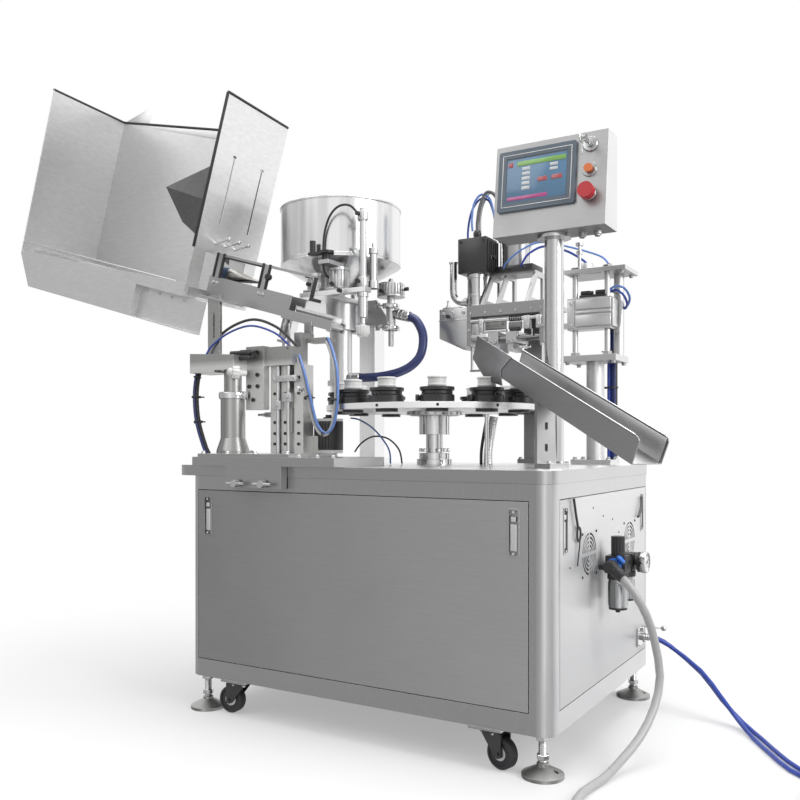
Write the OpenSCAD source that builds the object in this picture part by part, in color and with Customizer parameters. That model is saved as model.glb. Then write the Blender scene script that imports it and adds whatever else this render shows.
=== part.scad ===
// Rotary tube filling and sealing machine: cabinet on feet and casters, indexing dial, tube loader,
// filler, sealer, trimmer, discharge chute and control box. Millimetres, +Z up, floor at Z = 0.

/* [Cabinet] */
// Width of the cabinet along the front
cabinet_w = 1100; // [1000:10:1300]
// Depth of the cabinet, front to back
cabinet_d = 806; // [760:2:960]
// Height of the cabinet body
cabinet_h = 570; // [480:5:700]
// Height of the cabinet's underside above the floor
floor_gap = 100; // [95:1:130]
// Radius of the cabinet's upright corners
corner_r = 38; // [20:1:38]
// Thickness of the frame's walls
frame_t = 40; // [39:1:50]
// Thickness of the plain skins on the left and the back
skin_t = 3; // [2:0.5:6]
// Thickness of the removable panels
panel_t = 20; // [12:1:26]
// Gap round a panel
panel_gap = 2; // [1:0.5:4]
// Width of the lip that a panel seats on
panel_lip = 14; // [8:1:20]
// Thickness of the table slab
slab_t = 30; // [20:1:40]
// Overhang of the slab on the left
slab_left = 53; // [20:1:80]

/* [Feet and casters] */
// Diameter of a levelling foot's pad
pad_d = 98; // [80:1:110]
// Diameter of a foot's stud
stud_d = 16; // [12:1:24]
// Diameter of the anchor hole in a pad
anchor_d = 11; // [8:0.5:14]
// Distance of the anchor hole from the foot's axis
anchor_r = 32; // [28:1:36]
// Distance of a foot from the cabinet's sides
foot_inset = 37; // [30:1:60]
// Diameter of a caster wheel
wheel_d = 75; // [60:1:77]
// Width of a caster wheel
wheel_w = 30; // [20:1:36]
// Clearance of the wheels above the floor, on levelled feet
wheel_lift = 2; // [1:0.5:6]
// Distance from a caster's swivel to its axle
caster_trail = 32; // [24:1:36]
// Distance from a foot to the next caster's swivel
caster_step = 128; // [126:1:180]
// Diameter of a caster's axle
axle_d = 8; // [6:0.5:12]

/* [Dial] */
// Position of the dial's axis along the front
dial_x = 32; // [10:1:60]
// Number of stations
stations = 12; // [6:1:12]
// Radius of the circle of stations
station_r = 266; // [255:1:275]
// Radius of the dial plate
dial_r = 316; // [312:1:325]
// Thickness of the dial plate
dial_t = 16; // [10:1:24]
// Height of the dial plate's underside above the table
dial_lift = 154; // [150:1:170]
// Diameter of a cup holder
holder_d = 92; // [80:1:100]
// Height of a cup holder
holder_h = 40; // [30:1:50]
// Diameter of the tube socket
socket_d = 38; // [20:1:40]
// Depth of the tube socket
socket_depth = 25; // [15:1:40]
// Diameter of a tube insert
insert_d = 48; // [46:1:60]
// Diameter of the index shaft
shaft_d = 24; // [18:1:34]

/* [Control box] */
// Diameter of the pole
pole_d = 50; // [40:1:54]
// Height of the pole above the table
pole_h = 602; // [450:2:700]
// Width of the control box
box_w = 302; // [280:2:400]
// Height of the control box
box_h = 244; // [220:2:300]
// Depth of the control box at its foot
box_d = 100; // [90:2:140]
// Backward tilt of the box's face
box_tilt = 7; // [0:1:12]
// Width of the touch panel
touch_w = 212; // [160:1:216]
// Height of the touch panel
touch_h = 164; // [120:1:170]

/* [Chute and ejector] */
// Width of the discharge chute
chute_w = 88; // [70:1:92]
// Height of the chute's walls
chute_wall = 62; // [40:1:80]
// Length of the chute along its floor
chute_l = 590; // [400:5:640]
// Slope of the chute
chute_slope = 24.6; // [15:0.1:28]
// Thickness of the chute's sheet
chute_t = 2.5; // [2:0.5:5]
// Diameter of the ejector rod
ejector_d = 11; // [8:0.5:14]

/* [Loader] */
// Thickness of the loader's lower base plate
base_t = 24; // [16:1:32]
// Thickness of the loader's upper base plate
cover_t = 9; // [6:1:16]
// Diameter of the loader column's post
post_d = 52; // [40:1:60]
// Height of the loader column
column_h = 242; // [220:1:280]
// Width of the tube bin, front to back
bin_w = 325; // [280:5:360]
// Length of the tube bin along its slope
bin_l = 696; // [600:4:760]
// Height of the bin's back and left walls above its floor
bin_wall = 540; // [300:5:600]
// Height of the bin's end wall
end_wall_h = 461; // [300:1:500]
// Thickness of the bin's sheet
bin_t = 3; // [2:0.5:6]
// Slope of the bin and the feed rail
bin_slope = 16; // [10:1:20]
// Turn of the bin about the upright
bin_turn = 6; // [0:1:10]
// Width of the feed rail's channel
rail_w = 80; // [60:1:90]

/* [Filler] */
// Outer diameter of the tank
tank_d = 385; // [300:5:400]
// Height of the tank's straight wall
tank_h = 180; // [120:5:320]
// Height of the tank's cone
cone_h = 94; // [60:2:120]
// Thickness of the tank's wall
tank_t = 3; // [2:0.5:6]
// Diameter of the tank's outlet
outlet_d = 60; // [40:2:80]
// Diameter of the nozzle's tip
nozzle_d = 16; // [10:1:24]

/* [Sealer and trimmer] */
// Length of a sealing jaw
jaw_l = 70; // [50:1:90]
// Gap between the open jaws
jaw_gap = 26; // [20:1:40]
// Diameter of the jaws' guide rods
jaw_rod_d = 12; // [8:1:14]
// Diameter of the trimmer's column
trim_d = 52; // [40:1:60]
// Diameter of the trimmer's guide rods
trim_rod_d = 16; // [10:1:20]

/* [Supply hoses] */
// Diameter of the air hose
air_d = 20; // [12:1:22]
// Diameter of each water hose
water_d = 12; // [8:1:12]

/* [Fits] */
// Radial clearance of a running fit
run_fit = 0.05; // [0.02:0.01:0.1]
// Radial clearance of a seated spigot
seat_fit = 0.1; // [0.05:0.01:0.2]
// Axial clearance between a turning face and its seat
face_fit = 0.3; // [0.2:0.05:0.5]

/* [Hidden] */
$fn = 64;
eps = 0.5;

// Cabinet
right_x = cabinet_w / 2;
front_y = -cabinet_d / 2;
frame_top = floor_gap + cabinet_h;
table_z = frame_top + slab_t;
pan_t = 3;
slab_edge = 2;
front_margin = [32, 56, 49, 39];
side_margin = [46, 41, 52, 36];
front_x0 = -right_x + front_margin[0];
front_x1 = right_x - front_margin[1];
front_z0 = floor_gap + front_margin[2];
front_z1 = frame_top - front_margin[3];
side_y0 = front_y + side_margin[0];
side_y1 = -front_y - side_margin[1];
side_z0 = floor_gap + side_margin[2];
side_z1 = frame_top - side_margin[3];
pull_w = 30;
pull_h = 112;
pull_wall = 4;
pull_depth = 11;
pull_rim = 1.5;
pull_drop = 74;
pull_side = 38;
vent_d = 113;
vent_z = frame_top - 182;
vent_y = [-149, 197];
vent_slot = 5;
vent_pitch = 10;
vent_spoke = 9;
fan_w = 120;
fan_t = 38;
fan_bore = 114;
fan_hub_d = 42;
fan_pin_d = 6;
fan_strut = 4;
fan_gap = 2;
fan_blades = 7;
port_y = 305;
port_z = floor_gap + 98;
port_pitch = 22;

// Feet and casters
foot_x = right_x - foot_inset;
foot_y = -front_y - foot_inset;
caster_x = foot_x - caster_step;
plate_t = 5;
plate_w = 84;
fork_disc_d = 56;
fork_disc_t = 9;
fork_plate = 4;
kingpin_d = 12;
wheel_side = 0.4;
wheel_z = wheel_d / 2 + wheel_lift;
casters = [["fl", -1, -1, 186], ["fr", 1, -1, -14], ["rl", -1, 1, 172], ["rr", 1, 1, 10]];

// Dial
dial_z = table_z + dial_lift;
dial_top = dial_z + dial_t;
holder_top = dial_top + holder_h;
insert_h = socket_depth + 3;
insert_top = holder_top + insert_h;
hub_flange_d = 164;
hub_flange_t = 10;
housing_d = 90;
housing_h = 56;
neck_d = 50;
foot_flange_d = 104;
foot_flange_t = 16;
spigot_d = 60;
spigot_drop = 8;
holder_waist = 5;
ejector_hole_d = ejector_d + 7;
column_top = dial_z - hub_flange_t - face_fit;
drive_w = 220;
drive_d = 180;
drive_h = 170;
shaft_bite = 60;
motor_d = 130;
motor_l = 210;

// Control box
pole_x = 437;
pole_y = -94;
pole_top = table_z + pole_h;
pole_flange_d = 88;
pole_flange_t = 10;
swivel_d = 26;
swivel_h = 24;
box_front = 52;
touch_t = 7;
touch_x = -34;
touch_z = 146;
control_x = 106;
key_z = 212;
start_z = 146;
stop_z = 84;
collar_d = 34;
collar_t = 4;
start_d = 22;
stop_d = 40;
push_stem_d = 16;
push_stem_l = 20;
key_barrel_d = 20;

// Chute and ejector
chute_a = -30;
chute_start = [230, -133];
chute_z = insert_top + 24;
chute_top_reach = 70;
bracket_s = 205;
bracket_w = 58;
bracket_t = 10;
bracket_foot = 60;
bracket_foot_t = 12;
saddle_t = 6;
bracket_slot_w = 9;
ejector_a = -30;

// Loader
loader_x0 = -513;
loader_x1 = -24;
loader_overhang = 28;
loader_y0 = front_y - loader_overhang;
loader_y1 = -190;
cover_x0 = -500;
cover_x1 = -176;
cover_inset = 8;
base_top = table_z + base_t + cover_t;
column_x = -476;
column_y = -302;
column_top_z = base_top + column_h;
clamp_x = [-385, -296, -200];
clamp_t = 10;
clamp_drop = 60;
clamp_z = table_z - 47;
clamp_screw_d = 10;
clamp_knob_d = 20;
clamp_bar_l = 60;
head_h = 52;
head_y0 = -345;
head_y1 = -255;
head_x0 = -606;
head_x1 = -436;
upright_x0 = -366;
upright_x1 = -248;
upright_y0 = -264;
upright_y1 = -216;
bracket_x = -277;
foot_z = 1082;
bar_z = 1180;
motor_y = -216;
bin_origin = [-614, -324, 1349];
bin_floor = -150;
trough_drop = 100;
trough_shift = 62;
trough_w = 150;
trough_end = -185;
tray_end = 72;
tray_d = 30;
lip_h = 40;
lip_left_h = 9;
rail_y = 107;
rail_z = -112;
rail_l = 312;
rail_h = 46;
rail_t = 4;
rail_flange_h = 26;
guard_x = [16, 190];
guard_w = 24;
guard_h = 72;
guard_bar_h = 8;
hinge_x = 454;
hinge_z = -123;
flip_l = 130;
flip_d = 44;
flip_t = 4;
flip_lift = 30;
flip_pin_d = 10;
flip_ear_t = 8;
gate_t = 4;
gate_w = 36;
gate_rod_d = 8;
gate_stroke = 40;
slot_w = 6;
slot_y = [95, 240];

// Filler
tank_x = -358;
tank_y = 82;
deck_z = table_z + 510;
deck_t = 14;
deck_x0 = -520;
deck_x1 = -300;
deck_y0 = -30;
deck_y1 = 270;
shelf_y = -98;
shelf_x = -148;
actuators = [[-345, -66, 60], [-262, -66, 71]];
lever_y = -130;
lever_z = 1326;
slim_x = -166;
slim_y = -80;
slim_h = 236;
hose_z = deck_z - 238;
outlet_flange_d = 112;
outlet_flange_t = 12;
cone_z = deck_z + deck_t + outlet_flange_t;
wall_z = cone_z + cone_h;
rim_z = wall_z + tank_h;
rim_d = 10;
fill_a = 150;
fill_x = dial_x + station_r * cos(fill_a);
fill_y = station_r * sin(fill_a);
nozzle_z = insert_top + 134;
rib_z = nozzle_z + 156;
needle_d = 6;
needle_stroke = 12;
barrel_d = 80;
barrel_h = 44;
needle_cap_h = 12;
piston_h = 12;
lever_l = 62;
lever_t = 8;
metering_d = 72;

// Sealer and trimmer
seal_a = 60;
seal_x = dial_x + station_r * cos(seal_a);
seal_y = station_r * sin(seal_a);
jaw_z = insert_top + 128;
jaw_h = 34;
jaw_t = 34;
blade_t = 18;
jaw_rod_side = 36;
cheek_t = 14;
seal_x0 = 48;
seal_x1 = 301;
seal_y0 = 180;
seal_z = jaw_z + 107;
seal_deck_t = 14;
seal_col = [210, 348];
stand_z = seal_z + 120;
rib_t = 8;
rib_edge = 18;
trim_x = 430;
trim_y = 262;
trim_low_z = table_z + 300;
trim_plate_t = 18;
trim_rod_h = 238;
trim_rod_pitch = 96;
trim_rod_side = 38;
carriage_z = trim_low_z + 92;
carriage_h = 92;
carriage_w = 128;
cutter_reach = 50;

// Air service unit
unit_x = right_x + 46;
unit_y = -64;
unit_z = frame_top - 236;
unit_w = 50;
unit_h = 44;
unit_step = 64;
bowl_d = 46;
bowl_h = 92;
knob_d = 34;
knob_h = 48;
gauge_d = 52;

// Supply hoses: route points chosen by hand
air_route = [[604, -132, 454], [630, -142, 434], [660, -138, 396], [684, -120, 342], [696, -94, 277],
    [706, -82, 190],
    [702, -122, 122], [686, -188, 68], [660, -256, 28], [644, -340, 10], [630, -430, 10],
    [642, -530, 10], [690, -640, 10], [720, -705, 10], [725, -760, 10]];
air_tail = [[975, -760, 30], [975, -725, 28], [975, -690, 18], [975, -645, 12]];
air_coil_at = [850, -760];
air_coil_r = [95, 135];
air_coil_h = 40;
water_route_a = [[566, 294, 198], [600, 292, 196], [640, 284, 184], [730, 264, 130], [790, 236, 72],
    [840, 206, 24], [890, 130, 6], [940, 40, 6], [996, -52, 6], [1070, -112, 6], [1140, -123, 6]];
water_route_b = [[566, 316, 198], [600, 314, 194], [640, 304, 178], [730, 280, 118], [790, 246, 62],
    [850, 214, 18], [908, 140, 6], [958, 50, 6], [1014, -34, 6], [1084, -98, 12], [1140, -123, 18]];
water_tails = [[[1140, -123, 30], [1180, -123, 30], [1215, -123, 20], [1265, -123, 8]],
    [[1140, -123, 42], [1180, -122, 42], [1215, -114, 26], [1265, -107, 8]]];
water_coil_at = [1140, -190];
water_coil_r = [60, 74];
water_coil_h = 48;
coupler_d = 24;
coupler_l = 70;
nipple_d = 15;
nipple_l = 40;
end_grip = 10;

// Shared shapes

// Block with rounded upright corners, centred in X and Y, standing on Z = 0
module rounded_block(w, d, h, r) {
    translate([-w / 2 + r, -d / 2, 0]) cube([w - 2 * r, d, h]);
    translate([-w / 2, -d / 2 + r, 0]) cube([w, d - 2 * r, h]);
    for (sx = [-1, 1], sy = [-1, 1])
        translate([sx * (w / 2 - r), sy * (d / 2 - r), 0]) cylinder(r = r, h = h);
}

// Block between two corners
module span(a, b) {
    translate(a) cube(b - a);
}

// Upright ring slots of a vent, cut along +X, centred at the origin
module vent_slots(depth) {
    difference() {
        for (r = [vent_pitch : vent_pitch : vent_d / 2 - vent_slot / 2])
            rotate([0, 90, 0]) difference() {
                cylinder(r = r + vent_slot / 2, h = depth, center = true);
                cylinder(r = r - vent_slot / 2, h = depth + 2, center = true);
            }
        for (a = [0, 90])
            rotate([a, 0, 0]) cube([depth + 4, vent_spoke, vent_d * 2], center = true);
    }
}

// Oblong plate in the XZ plane, rounded at the corners, centred, with its front at Y = 0
module oblong(w, h, r, t) {
    translate([-w / 2 + r, 0, -h / 2]) cube([w - 2 * r, t, h]);
    translate([-w / 2, 0, -h / 2 + r]) cube([w, t, h - 2 * r]);
    for (sx = [-1, 1], sz = [-1, 1])
        translate([sx * (w / 2 - r), 0, sz * (h / 2 - r)]) rotate([-90, 0, 0]) cylinder(r = r, h = t);
}

// Raised rim and pocket of a flush pull; the panel's face is at Y = 0, the pocket runs to +Y
module pull_rim_at() {
    translate([0, -pull_rim, 0]) oblong(pull_w, pull_h, 5, pull_rim + eps);
}
module pull_pocket_at() {
    translate([0, -pull_rim - 1, 0])
        oblong(pull_w - 2 * pull_wall, pull_h - 2 * pull_wall, 4, pull_rim + 1 + pull_depth);
}

// Turns a shape about the dial's axis to a station's angle, at a radius
module at_station(a, r = station_r) {
    translate([dial_x, 0, 0]) rotate(a) translate([r, 0, 0]) children();
}

// Frame of the tube bin: X runs down the slope, Z stands square to it
module bin_frame() {
    translate(bin_origin) rotate(bin_turn) rotate([0, bin_slope, 0]) children();
}

// Frame of the chute: X runs down the floor, Y across it, Z square to the floor
module chute_frame() {
    translate([dial_x + chute_start[0], chute_start[1], chute_z])
        rotate(chute_a) rotate([0, chute_slope, 0]) children();
}

// Frame of the control box's face: X right, Z up the face, Y into the box
module face_frame() {
    translate([pole_x, pole_y - box_front, pole_top + face_fit]) rotate([-box_tilt, 0, 0]) children();
}

// Smooth path through points, then a tube swept along it
function unit(v) = v / norm(v);
function spline(p, i, t) =
    let (a = p[max(i - 1, 0)], b = p[i], c = p[i + 1], d = p[min(i + 2, len(p) - 1)])
    0.5 * ((2 * b) + (c - a) * t + (2 * a - 5 * b + 4 * c - d) * t * t
        + (3 * b - a - 3 * c + d) * t * t * t);
function smooth(p, n) =
    concat([for (i = [0 : len(p) - 2], k = [0 : n - 1]) spline(p, i, k / n)], [p[len(p) - 1]]);
module tube(points, d, n = 3, sides = 8, ref = [0, 0, 1]) {
    p = smooth(points, n);
    m = len(p);
    t = [for (i = [0 : m - 1]) unit(p[min(i + 1, m - 1)] - p[max(i - 1, 0)])];
    u = [for (v = t) unit(cross(ref, v))];
    w = [for (i = [0 : m - 1]) cross(t[i], u[i])];
    ring = [for (i = [0 : m - 1], k = [0 : sides - 1])
        p[i] + d / 2 * (cos(k * 360 / sides) * u[i] + sin(k * 360 / sides) * w[i])];
    side = [for (i = [0 : m - 2], k = [0 : sides - 1], h = [0, 1])
        let (k1 = (k + 1) % sides, a = i * sides, b = a + sides)
        h == 0 ? [a + k, b + k, a + k1] : [a + k1, b + k, b + k1]];
    caps = [[for (k = [0 : sides - 1]) k], [for (k = [sides - 1 : -1 : 0]) (m - 1) * sides + k]];
    polyhedron(points = ring, faces = concat(side, caps));
}

// Cabinet

module cabinet_frame() color("silver") {
    inner = [cabinet_w - 2 * frame_t, cabinet_d - 2 * frame_t];
    difference() {
        translate([0, 0, floor_gap]) rounded_block(cabinet_w, cabinet_d, cabinet_h, corner_r);
        translate([-inner[0] / 2, -inner[1] / 2, floor_gap + pan_t]) cube([inner[0], inner[1], cabinet_h]);
        // front opening with its rebate
        span([front_x0 + panel_lip, front_y - eps, front_z0 + panel_lip],
            [front_x1 - panel_lip, front_y + frame_t + eps, front_z1 - panel_lip]);
        span([front_x0, front_y - eps, front_z0], [front_x1, front_y + panel_t, front_z1]);
        // right opening with its rebate
        span([right_x - frame_t - eps, side_y0 + panel_lip, side_z0 + panel_lip],
            [right_x + eps, side_y1 - panel_lip, side_z1 - panel_lip]);
        span([right_x - panel_t, side_y0, side_z0], [right_x + eps, side_y1, side_z1]);
        // left and back walls thinned to a skin from inside
        span([-right_x + skin_t, side_y0, side_z0], [-right_x + frame_t + eps, side_y1, side_z1]);
        span([front_x0, -front_y - frame_t - eps, side_z0], [front_x1, -front_y - skin_t, side_z1]);
    }
    for (c = casters) translate([c[1] * caster_x, c[2] * foot_y, 0]) {
        translate([-plate_w / 2, -plate_w / 2, floor_gap - plate_t])
            cube([plate_w, plate_w, plate_t + eps]);
        translate([0, 0, floor_gap - plate_t - fork_disc_t - 2 * face_fit])
            cylinder(d = kingpin_d, h = fork_disc_t + plate_t + face_fit);
    }
}

module table_top() color("gainsboro") difference() {
    translate([-slab_left / 2 + slab_edge / 2, 0, frame_top])
        rounded_block(cabinet_w + slab_left + slab_edge, cabinet_d + slab_edge, slab_t, corner_r);
    translate([dial_x, 0, frame_top - eps]) cylinder(d = shaft_d + 10, h = slab_t + 2 * eps);
    at_station(ejector_a) translate([0, 0, frame_top - eps])
        cylinder(d = ejector_d + 2 * run_fit, h = slab_t + 2 * eps);
}

module front_panel() color("lightgray") {
    pulls = [front_x0 + pull_side, front_x1 - pull_side];
    difference() {
        union() {
            span([front_x0 + panel_gap, front_y, front_z0 + panel_gap],
                [front_x1 - panel_gap, front_y + panel_t, front_z1 - panel_gap]);
            for (x = pulls) translate([x, front_y, front_z1 - pull_drop]) pull_rim_at();
        }
        for (x = pulls) translate([x, front_y, front_z1 - pull_drop]) pull_pocket_at();
    }
}

module side_panel() color("whitesmoke") {
    pulls = [side_y0 + pull_side, side_y1 - pull_side];
    difference() {
        union() {
            span([right_x - panel_t, side_y0 + panel_gap, side_z0 + panel_gap],
                [right_x, side_y1 - panel_gap, side_z1 - panel_gap]);
            for (y = pulls) translate([right_x, y, side_z1 - pull_drop]) rotate(90) pull_rim_at();
            // bulkhead fittings for the water hoses
            for (s = [-1, 1]) translate([right_x - eps, port_y + s * port_pitch / 2, port_z])
                rotate([0, 90, 0]) cylinder(d = water_d + 6, h = 16);
        }
        for (y = pulls) translate([right_x, y, side_z1 - pull_drop]) rotate(90) pull_pocket_at();
        for (y = vent_y) translate([right_x, y, vent_z]) vent_slots(3 * panel_t);
    }
}

module fan_housing() color("dimgray") {
    back = right_x - panel_t - fan_t;
    translate([back, vent_y[0], vent_z]) {
        difference() {
            translate([0, -fan_w / 2, -fan_w / 2]) cube([fan_t, fan_w, fan_w]);
            rotate([0, 90, 0]) translate([0, 0, -eps]) cylinder(d = fan_bore, h = fan_t + 2 * eps);
        }
        rotate([0, 90, 0]) cylinder(d = fan_hub_d, h = fan_strut);
        for (a = [45, 165, 285]) rotate([a, 0, 0])
            translate([0, -fan_strut, 0]) cube([fan_strut, 2 * fan_strut, fan_bore / 2 + 2]);
        rotate([0, 90, 0]) cylinder(d = fan_pin_d, h = fan_t - fan_strut - fan_gap);
    }
}

module fan_rotor() color("black") {
    back = right_x - panel_t - fan_t + fan_strut + face_fit;
    depth = fan_t - fan_strut - 2 * fan_gap;
    translate([back, vent_y[0], vent_z]) rotate([0, 90, 0]) difference() {
        union() {
            cylinder(d = fan_hub_d - 2, h = depth);
            for (i = [0 : fan_blades - 1]) rotate(i * 360 / fan_blades)
                translate([fan_hub_d / 2 - 4, 0, depth / 2]) rotate([40, 0, 0])
                    translate([0, -1, -depth / 2]) cube([fan_bore / 2 - fan_hub_d / 2 - 2, 2, depth]);
        }
        translate([0, 0, -eps]) cylinder(d = fan_pin_d + 2 * run_fit, h = depth + 2 * eps);
    }
}

module levelling_feet() color("silver") {
    nut_h = 13;
    pad_h = 8;
    for (sx = [-1, 1], sy = [-1, 1]) translate([sx * foot_x, sy * foot_y, 0]) difference() {
        union() {
            rotate_extrude() polygon([[0, 0], [pad_d / 2, 0], [pad_d / 2, pad_h], [stud_d / 2 + 6, 26],
                [stud_d / 2 + 6, 32], [stud_d / 2, 36], [stud_d / 2, floor_gap], [0, floor_gap]]);
            translate([0, 0, floor_gap - nut_h]) cylinder(d = stud_d * 1.9, h = nut_h, $fn = 6);
        }
        translate([sx * anchor_r, 0, -eps]) cylinder(d = anchor_d, h = 40);
    }
}

module caster_fork(c) color("black") translate([c[1] * caster_x, c[2] * foot_y, 0]) rotate(c[3]) {
    top = floor_gap - plate_t - face_fit;
    gap = wheel_w / 2 + wheel_side;
    difference() {
        union() {
            translate([0, 0, top - fork_disc_t]) cylinder(d = fork_disc_d, h = fork_disc_t);
            for (s = [-1, 1]) translate([0, s * (gap + fork_plate / 2), 0]) rotate([90, 0, 0])
                linear_extrude(fork_plate, center = true)
                    polygon([[-fork_disc_d / 2 + 8, top - fork_disc_t + eps],
                        [caster_trail - 9, wheel_z - 7],
                        [caster_trail, wheel_z - 11], [caster_trail + 9, wheel_z - 7],
                        [fork_disc_d / 2 + 14, top - fork_disc_t + eps], [fork_disc_d / 2 - 8, top - 1],
                        [-fork_disc_d / 2 + 12, top - 1]]);
        }
        translate([0, 0, top - fork_disc_t - eps])
            cylinder(d = kingpin_d + 2 * run_fit, h = fork_disc_t + 2 * eps);
    }
    translate([caster_trail, 0, wheel_z]) rotate([90, 0, 0])
        cylinder(d = axle_d, h = 2 * gap + 4 * fork_plate, center = true);
}

module caster_wheel(c) color("black") translate([c[1] * caster_x, c[2] * foot_y, 0]) rotate(c[3])
    translate([caster_trail, 0, wheel_z]) rotate([90, 0, 0]) rotate_extrude() {
        bore = axle_d / 2 + run_fit;
        r = wheel_d / 2;
        h = wheel_w / 2;
        polygon([[bore, -h], [bore + 6, -h], [bore + 7, -h + 5], [r - 9, -h + 5], [r - 7, -h + 1],
            [r - 3, -h + 1],
            [r, -h + 5], [r, h - 5], [r - 3, h - 1], [r - 7, h - 1], [r - 9, h - 5], [bore + 7, h - 5],
            [bore + 6, h], [bore, h]]);
    }

module index_drive() color("slategray") {
    difference() {
        translate([dial_x - drive_w / 2, -drive_d / 2, frame_top - drive_h])
            cube([drive_w, drive_d, drive_h]);
        translate([dial_x, 0, frame_top - shaft_bite])
            cylinder(d = shaft_d + 2 * run_fit, h = shaft_bite + eps);
    }
    translate([dial_x - drive_w / 2 + eps, 0, frame_top - drive_h / 2]) rotate([0, -90, 0]) {
        cylinder(d = motor_d - 20, h = 30);
        cylinder(d = motor_d, h = motor_l);
        for (a = [0 : 30 : 330]) rotate(a) translate([motor_d / 2 - 2, -2, 40]) cube([8, 4, motor_l - 60]);
    }
}

module electrical_panel() color("lightgray") {
    back = -front_y - skin_t;
    plate_d = 3;
    post = 24;
    w = 520;
    h = 400;
    z0 = floor_gap + 80;
    face = back - post - plate_d;
    span([-w / 2, face, z0], [w / 2, face + plate_d, z0 + h]);
    for (x = [-w / 2 + 30, w / 2 - 30], z = [z0 + 30, z0 + h - 30])
        translate([x, back - post - eps, z]) rotate([-90, 0, 0]) cylinder(d = 16, h = post + eps);
    for (row = [0, 1]) span([-w / 2 + 30, face - 70, z0 + 50 + row * 170],
        [w / 2 - 150, face + eps, z0 + 150 + row * 170]);
    span([w / 2 - 130, face - 110, z0 + 60], [w / 2 - 30, face + eps, z0 + 300]);
}

// Dial

module index_column() color("silver") translate([dial_x, 0, 0]) rotate_extrude() {
    bore = shaft_d / 2 + run_fit;
    neck_z = column_top - housing_h;
    step = 18;
    polygon([[bore, table_z], [foot_flange_d / 2, table_z], [foot_flange_d / 2, table_z + foot_flange_t],
        [housing_d / 2, table_z + foot_flange_t], [housing_d / 2, table_z + foot_flange_t + step],
        [neck_d / 2, table_z + foot_flange_t + step], [neck_d / 2, neck_z], [housing_d / 2, neck_z],
        [housing_d / 2, column_top], [bore, column_top]]);
}

module index_shaft() color("silver") translate([dial_x, 0, 0]) {
    translate([0, 0, frame_top - shaft_bite + face_fit])
        cylinder(d = shaft_d, h = dial_z - frame_top + shaft_bite - 2);
    translate([0, 0, dial_z - hub_flange_t]) cylinder(d = hub_flange_d, h = hub_flange_t);
}

module dial_plate() color("whitesmoke") difference() {
    translate([dial_x, 0, dial_z]) cylinder(r = dial_r, h = dial_t, $fn = 128);
    for (i = [0 : stations - 1]) at_station(i * 360 / stations) translate([0, 0, dial_z - eps])
        cylinder(d = spigot_d + 2 * seat_fit, h = dial_t + 2 * eps);
}

module cup_holders() color("black") for (i = [0 : stations - 1]) at_station(i * 360 / stations)
    rotate_extrude() {
        bore = ejector_hole_d / 2;
        r = holder_d / 2;
        polygon([[bore, dial_z - spigot_drop], [spigot_d / 2, dial_z - spigot_drop],
            [spigot_d / 2, dial_top],
            [r, dial_top], [r, dial_top + holder_h * 0.45], [r - holder_waist, dial_top + holder_h * 0.55],
            [r - holder_waist, dial_top + holder_h * 0.72], [r, dial_top + holder_h * 0.8],
            [r, holder_top], [bore, holder_top]]);
    }

module cup_inserts() color("white") for (i = [0 : stations - 1]) at_station(i * 360 / stations)
    rotate_extrude() {
        bore = ejector_hole_d / 2;
        r = insert_d / 2;
        polygon([[bore, holder_top], [r - 2, holder_top], [r, holder_top + 5], [r, insert_top - 7],
            [r - 1.5, insert_top - 4], [r + 1, insert_top - 3], [r + 1, insert_top],
                [socket_d / 2, insert_top],
            [socket_d / 2, insert_top - socket_depth], [bore, insert_top - socket_depth]]);
    }

// Control box

module hmi_pole() color("silver") translate([pole_x, pole_y, 0]) {
    translate([0, 0, table_z]) cylinder(d = pole_d, h = pole_h);
    translate([0, 0, table_z]) cylinder(d = pole_flange_d, h = pole_flange_t);
    translate([0, 0, pole_top - pole_flange_t]) cylinder(d = pole_flange_d, h = pole_flange_t);
    translate([0, 0, pole_top]) cylinder(d = swivel_d, h = swivel_h);
}

module hmi_box() color("silver") {
    lean = box_h * tan(box_tilt);
    foot = pole_top + face_fit;
    front = pole_y - box_front;
    difference() {
        union() {
            translate([pole_x - box_w / 2, 0, 0]) rotate([90, 0, 90]) linear_extrude(box_w)
                polygon([[front, foot], [front + box_d, foot], [front + box_d, foot + box_h],
                    [front + lean, foot + box_h]]);
            face_frame() for (z = [key_z, start_z, stop_z]) translate([control_x, -collar_t, z])
                rotate([-90, 0, 0]) cylinder(d = collar_d, h = collar_t + eps);
        }
        translate([pole_x, pole_y, foot - eps])
            cylinder(d = swivel_d + 2 * run_fit, h = swivel_h + 4 + eps);
        face_frame() {
            for (z = [start_z, stop_z]) translate([control_x, -collar_t - eps, z]) rotate([-90, 0, 0])
                cylinder(d = push_stem_d + 2 * run_fit, h = push_stem_l + collar_t + 8);
            translate([control_x, -collar_t - eps, key_z]) rotate([-90, 0, 0])
                cylinder(d = key_barrel_d + 2 * run_fit, h = push_stem_l + collar_t);
        }
    }
}

module touch_panel() color("darkslategray") face_frame() difference() {
    translate([touch_x, -touch_t, touch_z]) oblong(touch_w, touch_h, 6, touch_t);
    translate([touch_x, -touch_t - eps, touch_z]) oblong(touch_w - 44, touch_h - 42, 2, 1 + eps);
}

module key_switch() color("silver") face_frame() translate([control_x, 0, key_z]) {
    depth = push_stem_l - 2;
    rotate([-90, 0, 0]) translate([0, 0, -collar_t - 6])
        cylinder(d = key_barrel_d, h = depth + collar_t + 6 - eps);
    translate([-1.2, -collar_t - 30, -6]) cube([2.4, 25, 12]);
    translate([-1.2, -collar_t - 44, -11]) cube([2.4, 16, 22]);
}

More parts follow.
